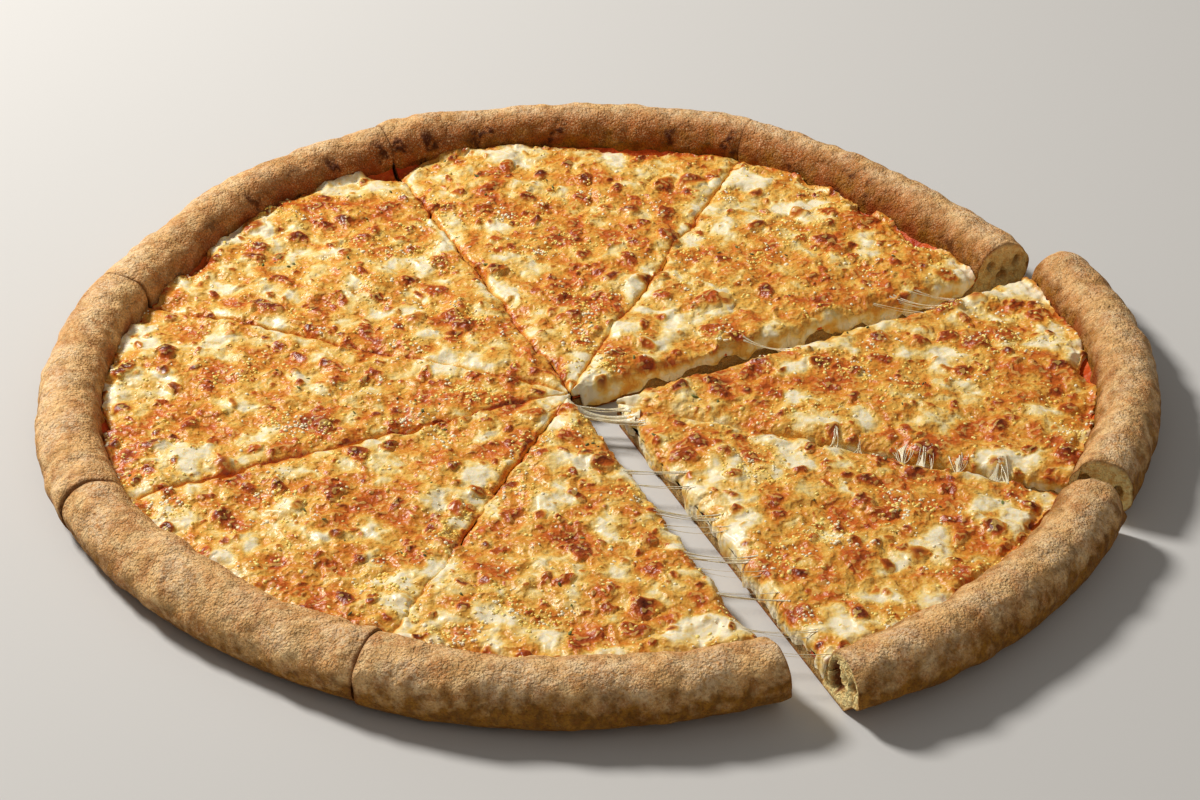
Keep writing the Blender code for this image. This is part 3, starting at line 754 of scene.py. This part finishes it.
def browning(flat, to_outline, to_cut):
    """How the cheese melted and browned at each point: its relief in metres and its marks."""
    bent = flat
    for depth, size, seed in BENDS:
        aside = np.column_stack([cloud(flat, size, seed), cloud(flat, size, seed + 1.0)])
        bent = bent + depth * aside
    level = USUAL_BROWNING
    for share, size, seed in BROWN_PATCHES:
        level = level + share * cloud(bent, size, seed)
    paler_by_rim = 0.20 * between(0.032, 0.006, to_outline)
    level -= paler_by_rim * between(-0.3, 0.3, cloud(flat, 0.019, 43.0))
    # Next to the rim the cheese is browned in patches: crisped cheese, and partly painted shade at
    # the rim's foot.
    crisped_and_shaded = 0.24 * between(0.0030, 0.0, to_outline)
    level += crisped_and_shaded * between(-0.15, 0.35, cloud(flat, 0.009, 41.0))
    paler_by_cut = 0.16 * between(0.0070, 0.0010, to_cut)
    level -= paler_by_cut * between(-0.2, 0.4, cloud(flat, 0.013, 44.0))
    pool = between(0.50, 0.20, level)
    inside, size, own = spots(bent, *BLISTER_SPOTS)
    small, small_size, small_own = spots(bent, *SMALL_SPOTS)
    hot = between(0.036, 0.012, to_outline) * between(-0.2, 0.3, cloud(flat, 0.030, 46.0))
    inside *= 1.0 - 0.35 * pool + 0.3 * hot
    small *= 1.0 - 0.5 * pool
    dome = np.sqrt(np.clip(1.0 - (1.0 - inside) ** 2, 0.0, 1.0)) * size * BLISTER_RISE
    small_dome = np.sqrt(np.clip(1.0 - (1.0 - small) ** 2, 0.0, 1.0)) * small_size * SMALL_RISE
    gravel = relief_of(bent, GRAVEL) * (1.0 - 0.6 * pool)
    relief = relief_of(bent, LUMPS) + gravel + dome + small_dome + POOL_RISE * pool
    halo = 0.34 * between(0.0, 0.4, inside) + 0.24 * between(0.0, 0.4, small)
    marks = {
        "pool": pool,
        "browned": np.clip(level + halo, 0.0, 1.2),
        "blister": np.maximum(between(0.12, 0.60, inside), 0.8 * between(0.15, 0.7, small)),
        "char": between(0.25, 0.85, inside) * between(0.20, 0.80, own + 0.35 * hot)
        + 0.6 * between(0.4, 0.9, small) * between(0.75, 0.9, small_own),
    }
    return relief, marks


def edge_wander(along, cut):
    """How far, and to which side, the edges along a cut stray from the knife's line."""
    line = np.column_stack([along, np.full(len(along), 0.31 * cut), np.zeros(len(along))])
    return relief_of(line, WANDERS)


def edge_swell(along, cut, side):
    """How far the cheese has crept over the knife's gap."""
    beside = np.full(len(along), 0.17 * cut + 0.05 * side)
    line = np.column_stack([along, beside, np.zeros(len(along))])
    own = cloud(line, 0.005, 33.0)
    if cut in OPEN_CUTS:
        return 0.0004 + 0.0009 * np.maximum(own, -0.3) + 0.0004 * cloud(line, 0.002, 34.0)
    shared = cloud(line * (1.0, 0.0, 0.0) + (0.0, 0.23 * cut, 0.0), 0.013, 35.0)
    closed = np.maximum(between(-0.15, 0.15, shared), between(0.014, 0.007, along))
    return closed * MELTED_SHUT.get(cut, USUALLY_SHUT) + (1.0 - closed) * 0.0003 * own


def cheese_slice(piece):
    """The slice's cheese, with point values for its material; also where its top's points are,
    and how likely grains lie there."""
    mesh = layer_lattice(CHEESE_ROWS)
    flat, direction, share, to_cuts, to_outline = fanned(piece, corners_of(mesh), cheese_shortfall)
    inward = cut_inward(piece)
    for side in (0, 1):
        cut = (piece.number - 1 + side) % 8
        along = (flat - CUT_CENTRE) @ aim(piece.first_cut if side == 0 else piece.last_cut)
        push = edge_wander(along, cut) * (1.0 if side == 0 else -1.0)
        push = push * np.clip(along / WANDER_STARTS, 0.0, 1.0) + edge_swell(along, cut, side)
        push = push * (1.0 - eased(to_cuts[side] / WANDER_REACH))
        flat = flat - inward[side] * push[:, None]
    to_cut = np.minimum(*to_cuts)
    cut_here = np.where(share < 0.5, (piece.number - 1) % 8, piece.number % 8)
    level = np.column_stack([flat, np.zeros(len(flat))])
    sag = 1.0 + packed_relief(level, EDGE_SAG_SIZE)
    at_cut = eased(to_cut / CHEESE_EDGE_WIDTH / np.maximum(sag, 0.05))
    opened = np.isin(cut_here, OPEN_CUTS)
    shut = np.where(opened, 0.0, SHUT_HEIGHT)
    at_cut = 1.0 - (1.0 - CHEESE_EDGE_SHARE) * (1.0 - at_cut) * (1.0 - shut)
    at_rim = eased(to_outline / CHEESE_EDGE_WIDTH)
    at_rim = CHEESE_OUTER_SHARE + (1.0 - CHEESE_OUTER_SHARE) * at_rim
    melt = MELT_DEPTH * packed_relief(level, MELT_SIZE)
    melt += 0.5 * BLISTER_DEPTH * np.maximum(0.0, packed_relief(level, BLISTER_SIZE))
    relief, marks = browning(flat, to_outline, to_cut)
    height = CHEESE_BOTTOM + (CHEESE_THICKNESS + melt) * at_cut * at_rim + relief * np.sqrt(at_rim)
    from_middle = np.hypot(*flat.T)
    outwards = flat / from_middle[:, None]
    to_rim = reach_to_outline(piece, np.zeros(2), outwards, CHEESE_REACH) - from_middle
    climb = CHEESE_CLIMB * (1.0 + 1.6 * between(-0.4, 0.6, cloud(flat, 0.011, 37.0)))
    height += climb * (1.0 - eased(to_rim / CHEESE_CLIMB_REACH))
    lip = LIP_DROP * (1.0 - eased(to_cut / LIP_WIDTH))
    height = np.maximum(height - lip, CHEESE_BOTTOM + THINNEST)
    top = np.column_stack([flat, height])

    outward = np.zeros_like(flat)
    for side in (0, 1):
        outward[to_cuts[side] < 1e-5] -= inward[side]
    outward[to_outline < 1e-6] += direction[to_outline < 1e-6]
    outward /= np.maximum(np.linalg.norm(outward, axis=1), 1e-9)[:, None]
    along = np.hypot(*(flat - CUT_CENTRE).T)
    hanging = opened & (to_cut < 1e-5) & (along > 0.004)
    drape = DRAPE_LEAST + DRAPE_MORE * between(-0.5, 0.5, cloud(top, DRAPE_SIZE, 36.0))
    drape = np.where(hanging, drape, 0.0)
    marks["thin"] = between(0.0022, 0.0009, height - CHEESE_BOTTOM)
    marks["thin"] += 0.7 * between(0.003, 0.0, to_outline)
    # Painted shade: along cuts that melted shut, a thin line of the cheese is browned where the
    # join lies.
    marks["seam_shade"] = between(0.0009, 0.0, to_cut) * np.where(opened, 0.0, 1.0)
    marks["side"] = np.zeros(len(flat))
    layers = mark(mesh, marks)
    source = mesh.verts.layers.int["source"]
    put(mesh, top)
    walls = add_walls(mesh, WALL_ROWS)
    for row, vertices in enumerate(walls):
        down = (row + 1) / (WALL_ROWS - 1)
        arch = sin(pi * min(down, 1.0))
        lumps = cloud(top + (0.0, 0.0, 0.004 * down), WALL_LUMP_SIZE, 38.0)
        lumps = WALL_LUMP_DEPTH * lumps * arch
        for vertex in vertices:
            index = vertex[source]
            vertex[layers["side"]] = min(1.0, 2.5 * down)
            if row == WALL_ROWS - 1:
                place = top[index, :2] - outward[index] * FOOT_INSET
                vertex.co = (*place, CHEESE_BOTTOM)
                continue
            hang = drape[index]
            bulge = WALL_BULGE * arch + hang * 0.2 * down + lumps[index] * (hang > 0.0)
            place = top[index, :2] + outward[index] * bulge
            foot = CHEESE_BOTTOM - hang
            vertex.co = (*place, top[index, 2] + (foot - top[index, 2]) * down)
    put(mesh, posed(piece, corners_of(mesh)))
    bmesh.ops.recalc_face_normals(mesh, faces=mesh.faces)
    return mesh, posed(piece, top), (to_cut > 0.0012) * (1.0 - 0.75 * marks["pool"])


BROWNING_STOPS = (
    (0.24, (250, 236, 200)), (0.36, (244, 216, 144)), (0.48, (232, 178, 78)),
    (0.64, (220, 142, 46)), (0.82, (204, 100, 28)), (1.0, (150, 60, 14)),
)
THIN_CHEESE, OIL_BEAD, CHARRED = (196, 74, 24), (250, 214, 116), (84, 28, 8)
BLISTER_RED, DARK_BLISTER = (192, 86, 12), (146, 54, 6)
FILM_GRAIN, FILM_GRAIN_DEPTH = 600.0, 0.00028
FINE_FILM_GRAIN, FINE_FILM_DEPTH = 1300.0, 0.00008


def cheese_material():
    """Browned cheese: cream pools, a golden oily film with beads in it, and red-brown blisters."""
    made, tree, shader = new_material("browned_cheese", 0.38, subsurface=0.12, coat=0.09)
    shader.inputs["Specular IOR Level"].default_value = 0.30
    side = marked(tree, "side")
    top = plus(tree, 1.0, times(tree, side, -1.0))
    rough = plus(tree, 1.0, times(tree, marked(tree, "pool"), -0.7))
    film = times(tree, mottle(tree, 620.0, 0.3, 0.7), rough)
    streaks = times(tree, side, mottle(tree, 150.0, 0.4, 0.7))
    level = plus(tree, marked(tree, "browned"), times(tree, mottle(tree, 300.0, 0.3, 0.7), 0.12))
    level = times(tree, plus(tree, level, times(tree, film, 0.06)), top)
    # The seam mark adds painted shade along the shut cuts.
    for more, share in ((side, 0.30), (streaks, 0.36), (marked(tree, "seam_shade"), 0.22)):
        level = plus(tree, level, times(tree, more, share))
    ramp = node(tree, "ShaderNodeValToRGB", {0: plus(tree, level, -0.07)})
    while len(ramp.color_ramp.elements) < len(BROWNING_STOPS):
        ramp.color_ramp.elements.new(0.5)
    for element, (place, colour) in zip(ramp.color_ramp.elements, BROWNING_STOPS):
        element.position = place
        element.color = paint(*colour)
    thin = times(tree, marked(tree, "thin"), mottle(tree, 300.0, 0.35, 0.6))
    colour = overlaid(tree, ramp.outputs[0], ((times(tree, thin, top), 0.5, THIN_CHEESE),))
    blister = mottle(tree, 560.0, 0.4, 0.7)
    blister = mixed(tree, blister, BLISTER_RED, DARK_BLISTER)
    blistered = times(tree, times(tree, marked(tree, "blister"), top), 0.88)
    colour = overlaid(tree, mixed(tree, blistered, colour, blister), (
        (times(tree, marked(tree, "char"), top), 0.85, CHARRED),
        (mottle(tree, 600.0, 0.56, 0.66, 0.0), 0.4, OIL_BEAD),
    ))
    tree.links.new(colour, shader.inputs["Base Color"])
    film_grain = times(tree, mottle(tree, FILM_GRAIN, 0.25, 0.75, 0.0), rough)
    fine_grain = times(tree, mottle(tree, FINE_FILM_GRAIN, 0.25, 0.75, 0.0), rough)
    bumped(tree, shader, ((film_grain, FILM_GRAIN_DEPTH), (fine_grain, FINE_FILM_DEPTH)))
    return made


CHEESE = cheese_material()
cheese_tops = {}
for piece in SLICES:
    cheese, *top_and_catches = cheese_slice(piece)
    cheese_tops[piece.number] = top_and_catches
    replaced = f"slice_{piece.number}_cheese"
    finished(f"cheese_{piece.number}", cheese, replaced, CHEESE)

# The seasoning: coarse grains of dried garlic and cornmeal, and flakes of dried herb, thrown over
# the baked cheese by hand, so they lie in drifts. Each is a small closed solid sunk in the cheese.
Scatter = namedtuple("Scatter", "count radii shape sunk seed")
GRAINS = Scatter(640, (0.00045, 0.00092), (1.0, 0.85, 0.6), 0.6, 60)
FLAKES = Scatter(10, (0.0006, 0.0013), (1.0, 0.45, 0.22), 0.05, 80)
DRIFT_SIZE, STRAY_CHANCE = 0.019, 0.04
SMALL_ONES_MORE = 1.6
SQUASH, TILT = (0.65, 1.3), (-0.4, 0.4)
HEAP = 35
GARLIC, CORNMEAL, PALE_GARLIC = (255, 232, 134), (252, 214, 98), (254, 242, 204)
HERB, DARK_HERB = (116, 124, 54), (78, 84, 34)


def gather(whole, part):
    """Adds one bmesh to another and frees it."""
    data = bpy.data.meshes.new("part")
    part.to_mesh(data)
    part.free()
    whole.from_mesh(data)
    bpy.data.meshes.remove(data)


def scattered(name, kind, material):
    """One piece of small closed solids, dropped on the cheese of every slice."""
    gathered = bmesh.new()
    for piece in SLICES:
        draw = Random(kind.seed + piece.number)
        top, catches = cheese_tops[piece.number]
        drift = between(-0.3, 1.0, cloud(top[:, :2], DRIFT_SIZE, kind.seed)) ** 2 + STRAY_CHANCE
        chances = np.cumsum(drift * catches)
        for start in range(0, kind.count, HEAP):
            heap = bmesh.new()
            for _ in range(start, min(start + HEAP, kind.count)):
                index = int(np.searchsorted(chances, draw.random() * chances[-1]))
                smallest, largest = kind.radii
                radius = smallest + (largest - smallest) * draw.random() ** SMALL_ONES_MORE
                squash = [scale * draw.uniform(*SQUASH) for scale in kind.shape]
                turn = Euler([draw.uniform(*reach) for reach in (TILT, TILT, (0.0, 2.0 * pi))])
                above = radius * kind.shape[2] * (1.0 - 2.0 * kind.sunk)
                place = Matrix.Translation(Vector(top[index]) + Vector((0.0, 0.0, above)))
                pose = place @ turn.to_matrix().to_4x4() @ Matrix.Diagonal(squash + [1.0])
                bmesh.ops.create_icosphere(heap, subdivisions=1, radius=radius, matrix=pose)
            gather(gathered, heap)
    finished(name, gathered, None, material)


def grain_material():
    made, tree, shader = new_material("seasoning_grain", 0.45)
    colour = mixed(tree, mottle(tree, 330.0, 0.4, 0.6, 0.0), GARLIC, CORNMEAL)
    colour = mixed(tree, mottle(tree, 210.0, 0.55, 0.62, 0.0), colour, PALE_GARLIC)
    tree.links.new(colour, shader.inputs["Base Color"])
    return made


def herb_material():
    made, tree, shader = new_material("dried_herb", 0.7)
    colour = mixed(tree, mottle(tree, 300.0, 0.4, 0.6), HERB, DARK_HERB)
    tree.links.new(colour, shader.inputs["Base Color"])
    bumped(tree, shader, ((mottle(tree, 2000.0, 0.25, 0.75), 0.0001),))
    return made


scattered("seasoning_grains", GRAINS, grain_material())
scattered("herb_flakes", FLAKES, herb_material())

# The strands: cheese that was soft when two slices were drawn out, pulled into threads that are
# thick at both roots, thin in the middle, and sag a little. Each is a drawn tube; where many leave
# one place, a thin web joins them.
Bundle = namedtuple("Bundle", "distance spread count radius")
DRAWN_FROM = (
    ((7, "first"), (6, "last"), (
        Bundle(0.0060, 0.0014, 4, 0.0005), Bundle(0.0104, 0.0008, 2, 0.0019),
        Bundle(0.0140, 0.0020, 5, 0.0003), Bundle(0.0460, 0.0012, 3, 0.0004),
        Bundle(0.0530, 0.0010, 2, 0.00025), Bundle(0.0700, 0.0016, 4, 0.0004),
        Bundle(0.0770, 0.0010, 2, 0.0002), Bundle(0.0940, 0.0020, 4, 0.0004),
        Bundle(0.1010, 0.0012, 2, 0.0002), Bundle(0.1150, 0.0020, 4, 0.0003),
        Bundle(0.1330, 0.0015, 3, 0.00025), Bundle(0.1440, 0.0012, 2, 0.0002),
    )),
    ((8, "last"), (1, "first"), (
        Bundle(0.0660, 0.0010, 2, 0.0004), Bundle(0.1170, 0.0015, 2, 0.0002),
        Bundle(0.1240, 0.0020, 4, 0.0004), Bundle(0.1330, 0.0015, 3, 0.0002),
    )),
    ((8, "first"), (7, "last"), (
        Bundle(0.0740, 0.0016, 5, 0.0004), Bundle(0.0820, 0.0016, 4, 0.0003),
        Bundle(0.0970, 0.0035, 11, 0.0003), Bundle(0.1040, 0.0030, 9, 0.0003),
        Bundle(0.1150, 0.0030, 7, 0.0003), Bundle(0.1280, 0.0035, 12, 0.0004),
    )),
)
NARROW_SPREADS, WIDE_SPREADS, TURNED_ABOUT = (0.1, 0.4), (1.1, 1.6), 0.35
PRONGS = 1.6
STRAY, STRAY_AT_PRONG = (-0.3, 0.3), (-0.1, 0.1)
ROOT_INSIDE, FAR_ROOT_INSIDE, ROOT_SUNK = (0.0002, 0.0038), (0.0003, 0.0016), 0.8
THREAD_THICKNESS, THREAD_SAG, THREAD_BOW = (0.6, 1.2), (0.0003, 0.0016), (-0.0007, 0.0007)
THREAD_WAIST, THREAD_TAPER, THREAD_FLARE = 0.38, (0.62, 1.8), (0.4, 8)
STRAND_SIDES, STRAND_LENGTHS = 6, 16
WEB_FROM, WEB_THICKNESS, WEB_SAG, WEB_WAIST = 7, 0.00022, 0.0006, 2.2
WEB_ACROSS, WEB_ALONG = 8, 12
STRAND_SEED = 90
STRAND_CREAM, STRAND_YELLOW = (240, 228, 196), (232, 212, 164)


def root_on_top(piece, side, distance, inside):
    """A point on the slice's cheese, that far along one of its cuts and that far inside it."""
    degrees = piece.first_cut if side == "first" else piece.last_cut
    inward = cut_inward(piece)[0 if side == "first" else 1]
    flat = CUT_CENTRE + aim(degrees) * distance + inward * (KNIFE_GAP / 2.0 + LAYER_INSET + inside)
    place = posed(piece, [(*flat, 0.0)])[0]
    top = cheese_tops[piece.number][0]
    nearest = np.argmin(np.hypot(top[:, 0] - place[0], top[:, 1] - place[1]))
    return Vector((place[0], place[1], top[nearest, 2]))


def thread(start, end, radius, sag, bow):
    """A closed tube from start to end, drawn thin in the middle, that sags and bows aside."""
    tube = bmesh.new()
    bmesh.ops.create_cone(tube, cap_ends=True, segments=STRAND_SIDES, radius1=1.0, radius2=1.0,
                          depth=1.0)
    lengthwise = [edge for edge in tube.edges if abs(edge.verts[0].co.z - edge.verts[1].co.z) > 0.5]
    bmesh.ops.subdivide_edges(tube, edges=lengthwise, cuts=STRAND_LENGTHS - 1, use_grid_fill=True)
    turn = (end - start).to_track_quat("Z", "Y").to_matrix()
    for vertex in tube.verts:
        x, y, z = vertex.co
        t = z + 0.5
        to_root = abs(2.0 * t - 1.0)
        taper = THREAD_TAPER[0] * to_root ** THREAD_TAPER[1]
        flare = THREAD_FLARE[0] * to_root ** THREAD_FLARE[1]
        thickness = radius * (THREAD_WAIST + taper + flare)
        hang = Vector((0.0, 0.0, -4.0 * sag * t * (1.0 - t)))
        hang += turn @ Vector((bow * sin(pi * t), 0.0, 0.0))
        vertex.co = start.lerp(end, t) + turn @ Vector((x, y, 0.0)) * thickness + hang
    return tube


def web(starts, ends, thickness, sag):
    """A thin closed sheet between the outer threads of a bundle."""
    sheet = bmesh.new()
    bmesh.ops.create_grid(sheet, x_segments=WEB_ACROSS, y_segments=WEB_ALONG, size=0.5)
    for vertex in sheet.verts:
        across, t = vertex.co.x + 0.5, vertex.co.y + 0.5
        place = starts[0].lerp(starts[1], across).lerp(ends[0].lerp(ends[1], across), t)
        waist = starts[0].lerp(starts[1], 0.5).lerp(ends[0].lerp(ends[1], 0.5), t)
        place = place.lerp(waist, WEB_WAIST * t * (1.0 - t))
        vertex.co = place + Vector((0.0, 0.0, -4.0 * sag * t * (1.0 - t)))
    bmesh.ops.solidify(sheet, geom=sheet.faces[:], thickness=thickness)
    return sheet


def strand_material():
    made, tree, shader = new_material("drawn_cheese", 0.3, subsurface=0.1, coat=0.3)
    yellowed = mottle(tree, 260.0, 0.4, 0.7)
    colour = mixed(tree, yellowed, STRAND_CREAM, STRAND_YELLOW)
    tree.links.new(colour, shader.inputs["Base Color"])
    bumped(tree, shader, ((mottle(tree, 1500.0, 0.3, 0.7), 0.0001),))
    return made


def draw_bundle(strands, draw, bundle, near, far):
    """Adds a bundle's threads, which fan out on one slice and gather at prongs on the other."""
    narrow, wide = draw.uniform(*NARROW_SPREADS), draw.uniform(*WIDE_SPREADS)
    if draw.random() < TURNED_ABOUT:
        narrow, wide = wide, narrow
    starts, ends = [], []
    for index in range(bundle.count):
        share = (index + 0.5) / bundle.count * 2.0 - 1.0
        prong = round(share * PRONGS) / PRONGS
        here = bundle.distance + bundle.spread * (wide * share + draw.uniform(*STRAY))
        there = bundle.distance + bundle.spread * (narrow * prong + draw.uniform(*STRAY_AT_PRONG))
        starts.append(root_on_top(*near, here, draw.uniform(*ROOT_INSIDE)))
        ends.append(root_on_top(*far, there, draw.uniform(*FAR_ROOT_INSIDE)))
        radius = bundle.radius * draw.uniform(*THREAD_THICKNESS)
        sunk = Vector((0.0, 0.0, -ROOT_SUNK * radius))
        sag, bow = draw.uniform(*THREAD_SAG), draw.uniform(*THREAD_BOW)
        gather(strands, thread(starts[-1] + sunk, ends[-1] + sunk, radius, sag, bow))
    if bundle.count >= WEB_FROM:
        pair = (1, bundle.count // 2)
        sheet = web([starts[at] for at in pair], [ends[at] for at in pair], WEB_THICKNESS, WEB_SAG)
        gather(strands, sheet)


strands = bmesh.new()
draw = Random(STRAND_SEED)
for (number, side), (other_number, other_side), bundles in DRAWN_FROM:
    for bundle in bundles:
        near, far = (SLICES[number - 1], side), (SLICES[other_number - 1], other_side)
        draw_bundle(strands, draw, bundle, near, far)
bmesh.ops.recalc_face_normals(strands, faces=strands.faces)
finished("cheese_strands", strands, None, strand_material())

# The table, the light and the camera: a plain pale floor, a soft lamp high up behind and to the
# left, as in a kitchen studio, and a long lens that looks down on the pizza from the front.
FLOOR_REACH, FLOOR_DROP, FLOOR_TONE = 3.0, 0.0002, (0.64, 0.63, 0.61, 1.0)
WORLD_TONE, WORLD_STRENGTH = (0.92, 0.88, 0.83, 1.0), 0.18

floor_mesh = bmesh.new()
floor_place = Matrix.Translation((0.0, 0.0, -FLOOR_DROP))
bmesh.ops.create_grid(floor_mesh, x_segments=1, y_segments=1, size=FLOOR_REACH, matrix=floor_place)
floor_data = bpy.data.meshes.new("floor")
floor_mesh.to_mesh(floor_data)
floor_mesh.free()
floor = bpy.data.objects.new("floor", floor_data)
bpy.context.scene.collection.objects.link(floor)
floor_paint, _, floor_shader = new_material("floor_paint", 0.8)
floor_shader.inputs["Base Color"].default_value = FLOOR_TONE
floor_shader.inputs["Specular IOR Level"].default_value = 0.1
floor_data.materials.append(floor_paint)


def lamp(name, place, size, power, tint):
    """A round soft lamp that shines at the middle of the table."""
    data = bpy.data.lights.new(name, "AREA")
    data.shape = "DISK"
    data.size = size
    data.energy = power
    data.color = tint
    made = bpy.data.objects.new(name, data)
    made.location = place
    made.rotation_euler = (-Vector(place)).to_track_quat("-Z", "Y").to_euler()
    bpy.context.scene.collection.objects.link(made)


lamp("key_lamp", (-0.96, 0.66, 1.10), size=0.34, power=29.4, tint=(1.0, 0.97, 0.93))
lamp("fill_lamp", (0.5, -1.1, 1.2), size=1.2, power=1.9, tint=(1.0, 0.95, 0.88))

world = bpy.data.worlds.new("studio")
world.use_nodes = True
background = world.node_tree.nodes["Background"]
background.inputs["Color"].default_value = WORLD_TONE
background.inputs["Strength"].default_value = WORLD_STRENGTH
bpy.context.scene.world = world
bpy.context.scene.view_settings.view_transform = "Standard"

LOOK_DOWN, LOOK_FROM = radians(34.9), 0.9476
LOOK_AT = Vector((0.0036, 0.0027, 0.0))
camera_data = bpy.data.cameras.new("camera")
camera_data.lens = 85.0
camera_data.sensor_width = 36.0
camera = bpy.data.objects.new("camera", camera_data)
camera.location = LOOK_AT + LOOK_FROM * Vector((0.0, -cos(LOOK_DOWN), sin(LOOK_DOWN)))
camera.rotation_euler = (pi / 2.0 - LOOK_DOWN, 0.0, 0.0)
bpy.context.scene.collection.objects.link(camera)
bpy.context.scene.camera = camera
